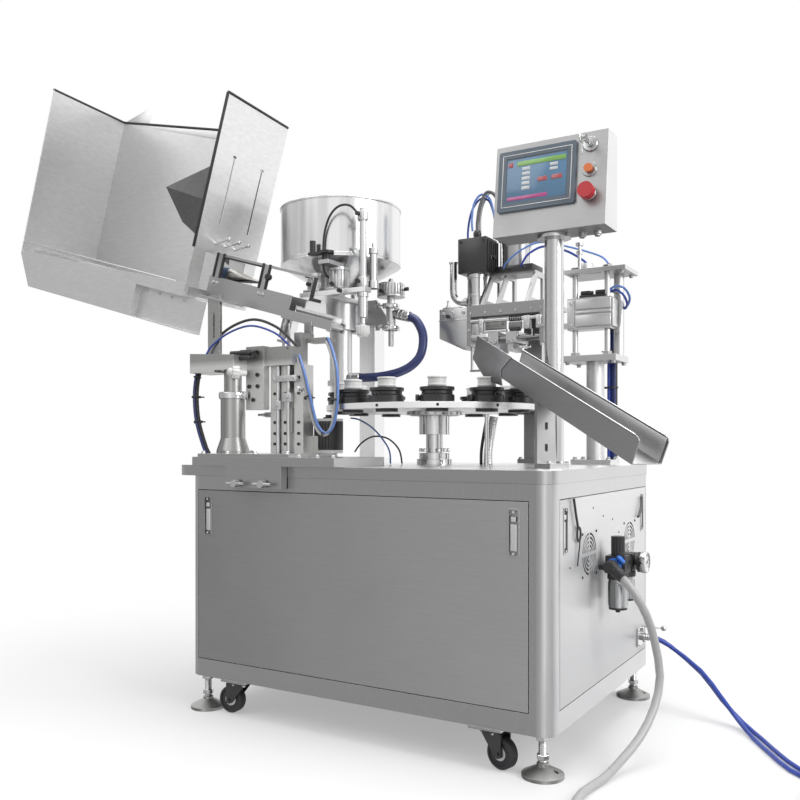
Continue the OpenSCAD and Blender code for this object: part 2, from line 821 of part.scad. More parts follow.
module push_button(d, cap) {
    rotate([-90, 0, 0]) {
        translate([0, 0, -collar_t - cap]) cylinder(d = d, h = cap - 5);
        translate([0, 0, -collar_t - 6]) cylinder(d = push_stem_d, h = push_stem_l + collar_t);
    }
}

module start_button() color("orangered") face_frame()
    translate([control_x, 0, start_z]) push_button(start_d, 11);

module stop_button() color("red") face_frame() translate([control_x, 0, stop_z]) push_button(stop_d, 26);

// Discharge

module discharge_chute() color("darkgray") chute_frame() {
    wall = chute_wall;
    corner = 12;
    span([0, 0, 0], [chute_l, chute_w, chute_t]);
    // near wall, longer at the top end
    difference() {
        span([-chute_top_reach, 0, 0], [chute_l, chute_t, wall]);
        translate([chute_l - corner, -eps, wall - corner]) difference() {
            cube([corner + eps, chute_t + 2 * eps, corner + eps]);
            rotate([-90, 0, 0]) cylinder(r = corner, h = chute_t + 2 * eps);
        }
    }
    // far wall
    difference() {
        span([20, chute_w - chute_t, 0], [chute_l, chute_w, wall]);
        translate([chute_l - corner, chute_w - chute_t - eps, wall - corner]) difference() {
            cube([corner + eps, chute_t + 2 * eps, corner + eps]);
            rotate([-90, 0, 0]) cylinder(r = corner, h = chute_t + 2 * eps);
        }
    }
}

module chute_bracket() color("silver") {
    s = bracket_s;
    low = chute_z - s * sin(chute_slope);
    run = s * cos(chute_slope);
    mid = chute_w / 2;
    translate([dial_x + chute_start[0], chute_start[1], 0]) rotate(chute_a) translate([run, 0, 0])
        difference() {
            union() {
                span([0, mid - bracket_w / 2, table_z], [bracket_t, mid + bracket_w / 2, low - saddle_t]);
                span([0, mid - bracket_w / 2, table_z],
                    [bracket_foot, mid + bracket_w / 2, table_z + bracket_foot_t]);
                // saddle that lies along the chute's floor
                translate([0, mid - bracket_w / 2, low]) rotate([0, chute_slope, 0])
                    translate([0, 0, -saddle_t]) cube([bracket_foot, bracket_w, saddle_t]);
            }
            for (z = [table_z + 46, table_z + 100]) translate([-eps, mid, z]) rotate([0, 90, 0]) {
                cylinder(d = bracket_slot_w + 0.5, h = bracket_t + 2 * eps);
                translate([-14, -bracket_slot_w / 2, 0]) cube([14, bracket_slot_w, bracket_t + 2 * eps]);
            }
        }
}

module ejector_rod() color("silver") at_station(ejector_a) {
    tip = dial_z - spigot_drop - 6;
    translate([0, 0, frame_top - 40]) cylinder(d = ejector_d, h = tip - frame_top + 40);
    translate([0, 0, tip - 8]) cylinder(d = ejector_hole_d - 3, h = 8);
}

// Loader

module loader_base() color("silver") {
    difference() {
        union() {
            span([loader_x0, loader_y0, table_z], [loader_x1, loader_y1, table_z + base_t]);
            span([cover_x0, loader_y0 + cover_inset, table_z + base_t - eps],
                [cover_x1, loader_y1 - cover_inset, base_top]);
            // clamp bracket hanging over the table's front edge
            span([clamp_x[0], loader_y0, table_z - clamp_drop],
                [clamp_x[2], loader_y0 + clamp_t, table_z + eps]);
            for (x = clamp_x) span([x - clamp_t / 2, loader_y0, table_z - clamp_drop],
                [x + clamp_t / 2, front_y - slab_edge - face_fit, table_z + eps]);
        }
        for (i = [0, 1]) translate([(clamp_x[i] + clamp_x[i + 1]) / 2, loader_y0 - eps, clamp_z])
            rotate([-90, 0, 0]) cylinder(d = clamp_screw_d + 2 * run_fit, h = clamp_t + 2 * eps);
    }
}

module clamp_screw(i) color("dimgray") translate([(clamp_x[i] + clamp_x[i + 1]) / 2, 0, clamp_z]) {
    reach = front_y - loader_y0 - face_fit;
    translate([0, loader_y0 - 24, 0]) rotate([-90, 0, 0]) cylinder(d = clamp_screw_d, h = 24 + reach);
    translate([0, loader_y0 - 24, 0]) rotate([-90, 0, 0]) cylinder(d = clamp_knob_d, h = 16);
    translate([0, loader_y0 - 16, 0]) rotate([0, 90, 0]) cylinder(d = 8, h = clamp_bar_l, center = true);
}

module loader_column() color("silver") translate([column_x, column_y, 0]) rotate_extrude() {
    cone_h2 = 44;
    sleeve_h = 158;
    collar_h = 20;
    base = base_top;
    polygon([[0, base], [48, base], [48, base + 8], [36, base + cone_h2], [36, base + sleeve_h],
        [39, base + sleeve_h], [39, base + sleeve_h + collar_h], [post_d / 2, base + sleeve_h + collar_h],
        [post_d / 2, column_top_z], [0, column_top_z]]);
}

module loader_head() color("darkkhaki") {
    arm_z = column_top_z;
    arm_top = arm_z + head_h;
    y0 = upright_y0;
    y1 = upright_y1;
    // arm on the column, deeper at its left end
    translate([0, head_y1, 0]) rotate([90, 0, 0]) linear_extrude(head_y1 - head_y0)
        polygon([[head_x0, arm_z - 6], [column_x - post_d / 2 - 8, arm_z - 6],
            [column_x - post_d / 2 - 8, arm_z],
            [head_x1, arm_z], [head_x1, arm_top - 10], [head_x0, arm_top]]);
    // bolted plate and beam to the uprights
    span([head_x1 - eps, y0 - 26, arm_z - 116], [head_x1 + 64, y0 + 2, arm_top + 16]);
    span([head_x1 + 62, y0 - 18, arm_z + 10], [bracket_x, y1 - 10, arm_top + 12]);
    // uprights on the base plates
    for (x = [upright_x0, upright_x0 + 38, upright_x0 + 86])
        span([x, y0, base_top], [x + 32, y1, arm_z + 11]);
    span([upright_x0, y0 + 8, base_top + 60], [upright_x1, y1 - 8, base_top + 130]);
    // tall bracket with the shelf below the rail's low end
    span([bracket_x - 25, y1 - 20, arm_z - 66], [bracket_x, y1 + 12, foot_z]);
    span([bracket_x - 25, y1 - 20, foot_z - 12], [bracket_x, y1 + 42, foot_z]);
    span([bracket_x - eps, y1 + 2, foot_z - 28], [bracket_x + 72, y1 + 50, foot_z - 16]);
    // chrome guide rods behind the beam
    for (x = [head_x1 + 92, head_x1 + 112]) translate([x, y1 - 16, arm_top]) cylinder(d = 8, h = 84);
    // slotted bar below the rail's high end
    difference() {
        span([head_x0 + 34, head_y0 + 40, arm_top - 20], [head_x0 + 81, head_y0 + 50, bar_z]);
        for (z = [bar_z - 100, bar_z - 34]) translate([head_x0 + 57.5, head_y0 + 30, z]) rotate([-90, 0, 0])
            cylinder(d = 9, h = 40);
        translate([head_x0 + 53.5, head_y0 + 30, bar_z - 100]) cube([8, 40, 66]);
    }
    // gate motor below the dial's edge
    span([upright_x1 + 3, motor_y, base_top], [upright_x1 + 69, motor_y + 50, base_top + 100]);
    span([upright_x1 - 10, y1 - 6, base_top], [upright_x1 + 20, motor_y + 20, base_top + 50]);
}

module tube_bin() color("gainsboro") bin_frame() {
    low = bin_floor - trough_drop;
    // floor and left wall
    span([-bin_l, 0, bin_floor], [0, bin_w, bin_floor + bin_t]);
    span([-bin_l, 0, bin_floor], [-bin_l + bin_t, bin_w, bin_floor + bin_wall]);
    // back wall
    span([-bin_l, bin_w - bin_t, bin_floor], [0, bin_w, bin_floor + bin_wall]);
    // trough under the floor's near side, slanted at its left end
    translate([0, trough_w, 0]) rotate([90, 0, 0]) linear_extrude(trough_w) difference() {
        polygon([[-bin_l, bin_floor + eps], [-bin_l + trough_shift, low], [trough_end, low],
            [trough_end, bin_floor + eps]]);
        polygon([[-bin_l + bin_t * 2, bin_floor - bin_t], [-bin_l + trough_shift + bin_t, low + bin_t],
            [trough_end - bin_t, low + bin_t], [trough_end - bin_t, bin_floor - bin_t]]);
    }
    // front fascia of the trough and the lip above the floor
    translate([0, bin_t, 0]) rotate([90, 0, 0]) linear_extrude(bin_t)
        polygon([[-bin_l, bin_floor + lip_left_h], [-bin_l, bin_floor], [-bin_l + trough_shift, low],
            [trough_end, low], [trough_end, bin_floor], [0, bin_floor], [0, bin_floor + lip_h]]);
    // open tray beside the trough
    span([trough_end - bin_t, 0, low], [tray_end, tray_d, low + bin_t]);
    span([trough_end - bin_t, tray_d - bin_t, low], [tray_end, tray_d, bin_floor + eps]);
}

module bin_end_wall() color("whitesmoke") bin_frame() difference() {
    union() {
        span([0, 0, 0], [bin_t, bin_w, end_wall_h]);
        // cheeks down to the bin's floor at both sides of the tube outlet
        span([0, 0, bin_floor + bin_t], [bin_t, 60, eps]);
        span([0, bin_w - 60, bin_floor + bin_t], [bin_t, bin_w, eps]);
    }
    for (y = slot_y) translate([-eps, y, 90]) {
        translate([0, -slot_w / 2, 0]) cube([bin_t + 2 * eps, slot_w, 210]);
        translate([0, -slot_w * 1.5, 204]) cube([bin_t + 2 * eps, slot_w * 3, slot_w]);
    }
}

module feed_rail() color("gray") {
    bin_frame() {
        floor_z = rail_z - rail_t;
        far = rail_y + rail_w;
        // channel with its flange on the bin's end wall
        span([bin_t, rail_y - eps, floor_z], [rail_l, far + eps, rail_z]);
        span([bin_t, rail_y - rail_t, floor_z - 16], [rail_l, rail_y, rail_z + rail_h]);
        span([bin_t, far, floor_z - 16], [rail_l, far + rail_t, rail_z + rail_h]);
        span([bin_t, 20, floor_z - rail_flange_h], [bin_t + 6, bin_w - 20, floor_z + eps]);
        // shelf on the slotted bar
        span([56, 6, floor_z - 20], [150, rail_y - rail_t + 1, floor_z - 15]);
        // guard posts and bars on the near wall
        for (x = guard_x) span([x, rail_y - rail_t, rail_z + rail_h - eps],
            [x + guard_w, rail_y, rail_z + rail_h + guard_h]);
        span([guard_x[0], rail_y - rail_t, rail_z + rail_h + guard_h - guard_bar_h],
            [rail_l + 70, rail_y, rail_z + rail_h + guard_h]);
        // barrel of the stop gate's air cylinder under the floor
        translate([rail_l - 26, rail_y + rail_w / 2, floor_z]) mirror([0, 0, 1]) difference() {
            cylinder(d = 26, h = 80);
            translate([0, 0, 22]) cylinder(d = gate_rod_d + 2 * run_fit, h = 80);
        }
        // arms that carry the flip cup's hinge pin
        for (y = [rail_y - rail_t, far + rail_t - flip_ear_t])
            span([rail_l - 20, y, hinge_z - 14], [hinge_x + 12, y + flip_ear_t, hinge_z + 14]);
        translate([hinge_x, rail_y - rail_t, hinge_z]) rotate([-90, 0, 0])
            cylinder(d = flip_pin_d, h = rail_w + 2 * rail_t);
    }
    // level feet on the head's bracket and bar
    span([bracket_x - 25, upright_y1 + 28, foot_z], [bracket_x, upright_y1 + 40, foot_z + 36]);
    span([head_x0 + 34, head_y0 + 40, bar_z], [head_x0 + 81, head_y0 + 50, bar_z + 22]);
}

module flip_cup() color("white") bin_frame() translate([hinge_x, rail_y + rail_w / 2, hinge_z])
    difference() {
    union() {
        // half-round cradle along the rail
        translate([-flip_l, 0, flip_lift]) rotate([0, 90, 0]) difference() {
            cylinder(d = flip_d + 2 * flip_t, h = flip_l + 6);
            translate([-flip_d, -flip_d, -eps]) cube([flip_d, 2 * flip_d, flip_l + 8]);
        }
        rotate([-90, 0, 0])
            cylinder(d = flip_pin_d + 12, h = rail_w + 2 * (rail_t - flip_ear_t - face_fit), center = true);
    }
    translate([-flip_l - eps, 0, flip_lift]) rotate([0, 90, 0]) cylinder(d = flip_d, h = flip_l + 40);
    rotate([-90, 0, 0]) cylinder(d = flip_pin_d + 2 * run_fit, h = 2 * rail_w, center = true);
}

module stop_gate() color("silver") bin_frame() translate([rail_l, rail_y + rail_w / 2, 0]) {
    foot = rail_z - rail_t - 80 - 14;
    top = rail_z + 22;
    span([face_fit + 2, -gate_w / 2, foot], [face_fit + 2 + gate_t, gate_w / 2, top]);
    span([-38, -8, foot], [face_fit + 2 + eps, 8, foot + 8]);
    translate([-26, 0, foot]) cylinder(d = gate_rod_d, h = 8 + 62);
}

// Filler

module filling_tank() color("gainsboro") translate([tank_x, tank_y, 0]) rotate_extrude($fn = 128) {
    ro = tank_d / 2;
    ri = ro - tank_t;
    po = outlet_d / 2;
    base = deck_z + deck_t;
    difference() {
        polygon([[po - tank_t, base], [outlet_flange_d / 2, base],
            [outlet_flange_d / 2, base + outlet_flange_t],
            [po, cone_z], [ro, wall_z], [ro, rim_z], [ri, rim_z], [ri, wall_z + 2],
                [po - tank_t, cone_z + 2]]);
    }
    translate([ro - tank_t / 2, rim_z]) circle(d = rim_d, $fn = 24);
}

module tank_stand() color("silver") {
    posts = [[deck_x0 + 20, deck_y0 + 30], [deck_x0 + 20, deck_y1 - 30]];
    difference() {
        union() {
            span([deck_x0, deck_y0, deck_z], [deck_x1, deck_y1, deck_z + deck_t]);
            // front shelf for the valve actuators
            span([tank_x - 30, shelf_y, deck_z], [deck_x1, deck_y0 + eps, deck_z + deck_t]);
            span([deck_x1 - eps, shelf_y, deck_z], [shelf_x, shelf_y + 34, deck_z + deck_t]);
        }
        translate([tank_x, tank_y, deck_z - eps]) cylinder(d = outlet_d - 2 * tank_t, h = deck_t + 2 * eps);
    }
    for (p = posts) translate([p[0], p[1], table_z]) {
        cylinder(d = 22, h = deck_z - table_z + eps);
        cylinder(d = 48, h = 12);
        translate([0, 0, deck_z - table_z - 10]) cylinder(d = 34, h = 10 + eps);
    }
    // square column beside the dial
    span([deck_x1 - 66, deck_y1 - 66, table_z], [deck_x1 - 6, deck_y1 - 6, deck_z + eps]);
    span([deck_x1 - 80, deck_y1 - 80, table_z], [deck_x1 + 8, deck_y1 + 8, table_z + 12]);
}

module filling_head() color("whitesmoke") {
    stem_z = rib_z - 34;
    difference() {
        union() {
            // valve block and metering barrel under the tank
            translate([tank_x, tank_y, deck_z - 84]) cylinder(d = outlet_flange_d - 16, h = 84);
            translate([tank_x, tank_y, deck_z - 250]) cylinder(d = metering_d, h = 170);
            translate([tank_x, tank_y, deck_z - 262]) cylinder(d = metering_d + 14, h = 16);
            translate([tank_x, tank_y, hose_z]) rotate([0, 90, 0])
                cylinder(d = 26, h = metering_d / 2 + 24);
            // bracket from the deck's edge to the nozzle
            span([deck_x1, fill_y - 28, nozzle_z + 68], [deck_x1 + 8, fill_y + 28, deck_z + deck_t]);
            span([deck_x1, fill_y - 22, nozzle_z + 68], [fill_x, fill_y + 22, nozzle_z + 78]);
            translate([0, fill_y + 4, 0]) rotate([90, 0, 0]) linear_extrude(8)
                polygon([[deck_x1 + 4, nozzle_z + 70], [deck_x1 + 4, deck_z + deck_t],
                    [deck_x1 + 48, deck_z + deck_t], [fill_x - 8, nozzle_z + 84],
                        [fill_x - 8, nozzle_z + 70]]);
            span([deck_x1 - 46, fill_y - 28, deck_z - 90], [deck_x1 + eps, fill_y + 10, deck_z]);
            // nozzle with its clamps, stem and the ribbed actuator
            translate([fill_x, fill_y, nozzle_z]) cylinder(d = nozzle_d + 2, h = 60);
            translate([fill_x, fill_y, nozzle_z + 52]) cylinder(d = 50, h = 10);
            translate([fill_x, fill_y, nozzle_z + 56]) cylinder(d = 32, h = stem_z - nozzle_z - 50);
            translate([fill_x, fill_y, stem_z]) cylinder(d = 46, h = 10);
            translate([fill_x, fill_y, stem_z + 8]) cylinder(d = 26, h = rib_z - stem_z);
            translate([fill_x, fill_y, rib_z]) cylinder(d = barrel_d, h = barrel_h);
            translate([fill_x, fill_y, rib_z]) cylinder(d = barrel_d + 10, h = 5);
            // side branch for the product hose
            translate([fill_x, fill_y, nozzle_z + 108]) rotate([0, 105, 0]) cylinder(d = 24, h = 72);
            // valve actuators on the shelf, the lever's bracket and the slim air cylinder
            for (a = actuators) translate([a[0], a[1], deck_z + deck_t]) cylinder(d = 54, h = a[2]);
            translate([actuators[1][0] - 18, lever_y - 18, lever_z - 32])
                cube([36, actuators[1][1] - lever_y + 18, 12]);
            translate([slim_x, slim_y, deck_z + deck_t]) cylinder(d = 22, h = slim_h);
            translate([slim_x, slim_y, deck_z + deck_t]) cylinder(d = 30, h = 16);
            translate([slim_x, slim_y, deck_z + deck_t + slim_h - 38]) cylinder(d = 28, h = 24);
        }
        translate([fill_x, fill_y, nozzle_z - eps])
            cylinder(d = needle_d + 2 * run_fit, h = rib_z - nozzle_z + 10);
        translate([fill_x, fill_y, rib_z + 8]) cylinder(d = barrel_d - 16, h = barrel_h - 16);
        translate([fill_x, fill_y, rib_z + 8]) cylinder(d = needle_d + 2 * run_fit, h = barrel_h);
        translate([actuators[1][0], lever_y, lever_z - 33]) cylinder(d = 12 + 2 * run_fit, h = 14);
    }
}

module valve_lever() color("black") translate([actuators[1][0], lever_y, lever_z]) {
    translate([0, 0, -31]) cylinder(d = 12, h = 32);
    translate([0, 0, -20 + face_fit]) cylinder(d = 20, h = 20);
    cylinder(d = 44, h = lever_t);
    span([-lever_l, -11, 0], [0, 11, lever_t]);
    translate([-lever_l + 10, 0, lever_t - eps]) cylinder(d = 18, h = 36);
}

module nozzle_needle() color("silver") translate([fill_x, fill_y, 0]) {
    top = rib_z + barrel_h;
    translate([0, 0, nozzle_z + 2]) cylinder(d = needle_d, h = top + 6 - nozzle_z);
    translate([0, 0, rib_z + 10]) cylinder(d = barrel_d - 16 - 2 * run_fit, h = piston_h);
    translate([0, 0, top + 4]) cylinder(d1 = 22, d2 = 12, h = needle_cap_h);
}

module hoses() color("midnightblue") {
    // product hose from the metering barrel to the nozzle
    tube([[fill_x + 66, fill_y, nozzle_z + 90], [-104, 132, 1146], [-78, 126, 1100], [-76, 112, 1042],
        [-100, 100, 1006], [-143, 90, 984], [-205, 84, 973], [-262, tank_y, 971],
        [tank_x + metering_d / 2 + 22, tank_y, hose_z]], 28, 3, 12);
    // cable bundle down the loader's left end
    tube([[-598, -300, 1004], [-608, -312, 960], [-606, -322, 900], [-590, -330, 826], [-560, -334, 756],
        [-546, -334, table_z]], 16, 3, 8, [0, 1, 0]);
    // two air lines that arch over the loader's arm
    tube([[-586, -296, 1022], [-560, -294, 1060], [-500, -288, 1104], [-420, -276, 1124],
        [-345, -262, 1098],
        [-292, -254, 1052], [-278, -252, 1036]], 8, 3, 8, [0, 1, 0]);
    tube([[-570, -316, 1022], [-550, -312, 1050], [-494, -302, 1086], [-420, -290, 1104],
        [-352, -272, 1084],
        [-310, -262, 1052], [-300, -260, 1036]], 6, 3, 8, [0, 1, 0]);
    // air line from the slim cylinder's top
    tube([[slim_x - 12, slim_y - 2, 1440], [-196, -104, 1466], [-228, -116, 1466], [-264, -112, 1442],
        [-286, -109, 1392], [-290, -109, 1330], [-290, -108, 1296], [-289, -98, 1272], [-283, -82, 1262]],
        7, 3, 8, [1, 0.2, 0]);
    // hanging loop at the front of the dial
    tube([[-280, -250, 1008], [-246, -272, 960], [-214, -288, 890], [-182, -298, 812], [-150, -300, 784],
        [-124, -298, 812], [-118, -290, 880], [-136, -268, 960], [-178, -232, 1024], [-212, -206, 1058]],
        9, 3, 8, [0, 1, 0]);
    // cable bundle behind the trimmer
    tube([[trim_x + 26, trim_y + 80, table_z], [trim_x + 26, trim_y + 80, 850],
        [trim_x + 26, trim_y + 80, 1000],
        [trim_x + 28, trim_y + 78, 1100], [trim_x + 40, trim_y + 62, 1150],
            [trim_x + 52, trim_y + 46, 1170]],
        24, 2, 10, [0, 1, 0]);
}

// Sealer

module sealer_frame() color("silver") {
    deck_top = seal_z + seal_deck_t;
    col = seal_col;
    // column behind the dial
    span([col[0] - 30, col[1] - 30, table_z], [col[0] + 30, col[1] + 30, seal_z + eps]);
    span([col[0] - 48, col[1] - 40, table_z], [col[0] + 48, col[1] + 40, table_z + 12]);
    // deck, front beam and the cheeks that hold the guide rods
    span([seal_x0, seal_y0, seal_z], [seal_x1, col[1] + 30, deck_top]);
    span([seal_x0, seal_y0, seal_z - 24], [seal_x1, seal_y0 + 8, seal_z + eps]);
    for (x = [seal_x0, seal_x1 - cheek_t])
        span([x, seal_y0, jaw_z - 4], [x + cheek_t, seal_y + jaw_rod_side + 24, seal_z + eps]);
    for (s = [-1, 1]) translate([seal_x0 + 4, seal_y + s * jaw_rod_side, jaw_z + jaw_h / 2])
        rotate([0, 90, 0]) cylinder(d = jaw_rod_d, h = seal_x1 - seal_x0 - 8);
    // sloping stand of the air cylinder
    for (x = [seal_x0 + 40, seal_x0 + 92, seal_x1 - 66]) translate([x, 0, 0]) rotate([90, 0, 90])
        linear_extrude(rib_t) difference() {
            polygon([[seal_y0 + 10, deck_top - eps], [seal_y0 + 84, stand_z],
                [seal_y0 + 156, stand_z], [seal_y0 + 156, deck_top - eps]]);
            polygon([[seal_y0 + 46, deck_top + rib_edge], [seal_y0 + 96, stand_z - rib_edge],
                [seal_y0 + 156 - rib_edge, stand_z - rib_edge],
                    [seal_y0 + 156 - rib_edge, deck_top + rib_edge]]);
        }
    span([seal_x0 + 40, seal_y0 + 78, stand_z - 7], [seal_x1 - 58, seal_y0 + 156, stand_z]);
    // air cylinder on its base
    span([seal_x0 + 66, seal_y0 + 70, stand_z - eps], [seal_x1 - 66, seal_y0 + 156, stand_z + 20]);
    translate([seal_x0 + 116, seal_y0 + 112, stand_z + 20 - eps]) cylinder(d = 84, h = 76);
    // hanging rod with its foot
    translate([seal_x0 + 8, seal_y0 + 20, insert_top + 46]) cylinder(d = 8, h = jaw_z - insert_top - 46);
    span([seal_x0 + 4, seal_y0 + 14, insert_top + 46], [seal_x0 + 40, seal_y0 + 26, insert_top + 52]);
}

module sealer_head() color("dimgray") {
    top = seal_z + seal_deck_t;
    can = [seal_x0 + 6, seal_y0 + 62];
    pipe_x = can[0] - 84;
    bend_r = 34;
    // nozzle block beside the frame
    translate([0, seal_y0 + 104, 0]) rotate([90, 0, 0]) linear_extrude(84)
        polygon([[seal_x0 - 108, top + eps], [seal_x0 - 108, jaw_z + 52], [seal_x0 - 20, jaw_z + 12],
            [seal_x0, jaw_z + 12], [seal_x0, top + eps]]);
    // heater can and its box
    translate([can[0], can[1], top]) cylinder(d = 62, h = 108);
    span([can[0] - 48, can[1] - 42, top + 106], [can[0] + 50, can[1] + 42, top + 216]);
    translate([can[0], can[1], top + 215]) cylinder(d = 26, h = 20);
    // air pipe with its bend
    translate([pipe_x, can[1], top + 22 + bend_r]) cylinder(d = 26, h = 70);
    translate([pipe_x + bend_r, can[1], top + 24 + bend_r]) rotate([90, 0, 0]) rotate(180)
        rotate_extrude(angle = 90) translate([bend_r, 0]) circle(d = 24);
    translate([pipe_x + bend_r - 2, can[1], top + 24]) rotate([0, 90, 0]) cylinder(d = 26, h = 34);
}

module jaw(s) color("silver") translate([seal_x, seal_y, 0]) difference() {
    x = s * (jaw_gap + jaw_t) / 2;
    blade = s * (jaw_gap + blade_t) / 2;
    end = jaw_rod_side + jaw_rod_d;
    union() {
        span([x - jaw_t / 2, -end, jaw_z], [x + jaw_t / 2, end, jaw_z + jaw_h]);
        span([blade - blade_t / 2, -jaw_l / 2, jaw_z - 24], [blade + blade_t / 2, jaw_l / 2, jaw_z + eps]);
    }
    for (y = [-jaw_rod_side, jaw_rod_side]) translate([x - jaw_t, y, jaw_z + jaw_h / 2]) rotate([0, 90, 0])
        cylinder(d = jaw_rod_d + 2 * run_fit, h = 2 * jaw_t);
}

// Trimmer

module trim_stand() color("gainsboro") translate([trim_x, trim_y, 0]) {
    top = trim_low_z + trim_plate_t + trim_rod_h;
    translate([-60, -46, table_z]) cube([120, 92, 14]);
    translate([0, 0, table_z]) cylinder(d = trim_d, h = trim_low_z - table_z + eps);
    translate([-80, -62, trim_low_z]) cube([160, 124, trim_plate_t]);
    for (x = [-trim_rod_pitch / 2, trim_rod_pitch / 2])
        translate([x, -trim_rod_side, trim_low_z])
            cylinder(d = trim_rod_d, h = trim_plate_t + trim_rod_h + eps);
    translate([-72, -66, top]) cube([180, 132, 12]);
    translate([60, 36, trim_low_z]) cylinder(d = 30, h = trim_plate_t + trim_rod_h + eps);
}

module trim_carriage() color("whitesmoke") difference() {
    translate([trim_x, trim_y, 0]) union() {
        span([-carriage_w / 2, -62, carriage_z], [carriage_w / 2, -14, carriage_z + carriage_h]);
        span([-carriage_w / 2 + 14, -15, carriage_z + 6],
            [carriage_w / 2 - 30, 16, carriage_z + carriage_h - 6]);
        // arm with the cutter towards the dial
        span([-carriage_w / 2 - cutter_reach, -60, carriage_z + 8],
            [-carriage_w / 2 + eps, -28, carriage_z + 22]);
    }
    for (x = [-trim_rod_pitch / 2, trim_rod_pitch / 2])
        translate([trim_x + x, trim_y - trim_rod_side, carriage_z - eps])
            cylinder(d = trim_rod_d + 2 * run_fit, h = carriage_h + 2 * eps);
}

// Air service unit

module filter_regulator() color("black") {
    stem_d = 20;
    difference() {
        union() {
            for (i = [0, 1]) translate([unit_x - unit_w / 2, unit_y - unit_w / 2 + i * unit_step, unit_z])
                cube([unit_w, unit_w, unit_h]);
            span([unit_x - 14, unit_y + unit_w / 2 - eps, unit_z + 8],
                [unit_x + 14, unit_y + unit_step - unit_w / 2 + eps, unit_z + unit_h - 8]);
            // bracket to the panel
            span([right_x, unit_y - 12, unit_z + 6],
                [unit_x - unit_w / 2 + eps, unit_y + unit_step + 12, unit_z + 18]);
            // bowls
            for (i = [0, 1]) translate([unit_x, unit_y + i * unit_step, unit_z - bowl_h + i * 14]) {
                cylinder(d = bowl_d, h = bowl_h - i * 14 + eps);
                translate([0, 0, -8]) cylinder(d = 12, h = 10);
            }
            // gauge on the second unit, facing outwards
            translate([unit_x + unit_w / 2 - eps, unit_y + unit_step, unit_z + unit_h / 2])
                rotate([0, 90, 0]) {
                cylinder(d = 16, h = 12);
                translate([0, 0, 10]) cylinder(d = gauge_d, h = 20);
            }
            // inlet with its elbow
            translate([unit_x, unit_y - unit_w / 2 + eps, unit_z + unit_h / 2]) rotate([90, 0, 0])
                cylinder(d = 26, h = 58);
            translate([unit_x, unit_y, unit_z + unit_h - eps]) cylinder(d = stem_d, h = 14);
        }
    }
}

module regulator_knob() color("black") translate([unit_x, unit_y, unit_z + unit_h + face_fit])
    difference() {
    cylinder(d = knob_d, h = knob_h);
    translate([0, 0, -eps]) cylinder(d = 20 + 2 * run_fit, h = 16);
    for (a = [0 : 30 : 330]) rotate(a) translate([knob_d / 2 + 1, 0, 8]) cylinder(d = 5, h = knob_h);
}

// Supply hoses

module air_hose() color("white") {
    tube(air_route, air_d, 3, 10);
    tube(air_tail, air_d, 3, 10);
}

module coil_ring(at, r, h) {
    translate([at[0], at[1], 0]) rotate_extrude() translate([r[0], 0]) square([r[1] - r[0], h]);
}

module air_coil() color("white") coil_ring(air_coil_at, air_coil_r, air_coil_h);

module water_hoses() color("royalblue") {
    tube(water_route_a, water_d, 3, 8);
    tube(water_route_b, water_d, 3, 8);
    for (t = water_tails) tube(t, water_d, 3, 8);
}

module water_coil() color("royalblue") coil_ring(water_coil_at, water_coil_r, water_coil_h);

// Couplings that the hoses' free ends go into
module hose_ends() color("silver") {
    translate(air_tail[3] - [0, end_grip, 0]) rotate([-90, 0, 0]) cylinder(d = coupler_d, h = coupler_l);
    for (t = water_tails) translate(t[3] - [end_grip, 0, 0]) rotate([0, 90, 0])
        cylinder(d = nipple_d, h = nipple_l);
}

cabinet_frame();
table_top();
front_panel();
side_panel();
fan_housing();
fan_rotor();
levelling_feet();
caster_fork(casters[0]);  // caster_fork_fl
caster_fork(casters[1]);  // caster_fork_fr
caster_fork(casters[2]);  // caster_fork_rl
caster_fork(casters[3]);  // caster_fork_rr
caster_wheel(casters[0]);  // caster_wheel_fl
caster_wheel(casters[1]);  // caster_wheel_fr
caster_wheel(casters[2]);  // caster_wheel_rl
caster_wheel(casters[3]);  // caster_wheel_rr
index_drive();
electrical_panel();
index_column();
index_shaft();
dial_plate();
cup_holders();
cup_inserts();
hmi_pole();
hmi_box();
touch_panel();
key_switch();
start_button();
stop_button();
discharge_chute();
chute_bracket();
ejector_rod();
loader_base();
clamp_screw(0);  // clamp_screw_left
clamp_screw(1);  // clamp_screw_right
loader_column();
loader_head();
tube_bin();
bin_end_wall();
feed_rail();
flip_cup();
stop_gate();
filling_tank();
tank_stand();
filling_head();
valve_lever();
nozzle_needle();
hoses();
sealer_frame();
sealer_head();
jaw(-1);  // jaw_inner
jaw(1);  // jaw_outer
trim_stand();
trim_carriage();
filter_regulator();
regulator_knob();
air_hose();
air_coil();
water_hoses();
water_coil();
hose_ends();
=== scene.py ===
import math

import bmesh
import bpy
from mathutils import Matrix, Vector


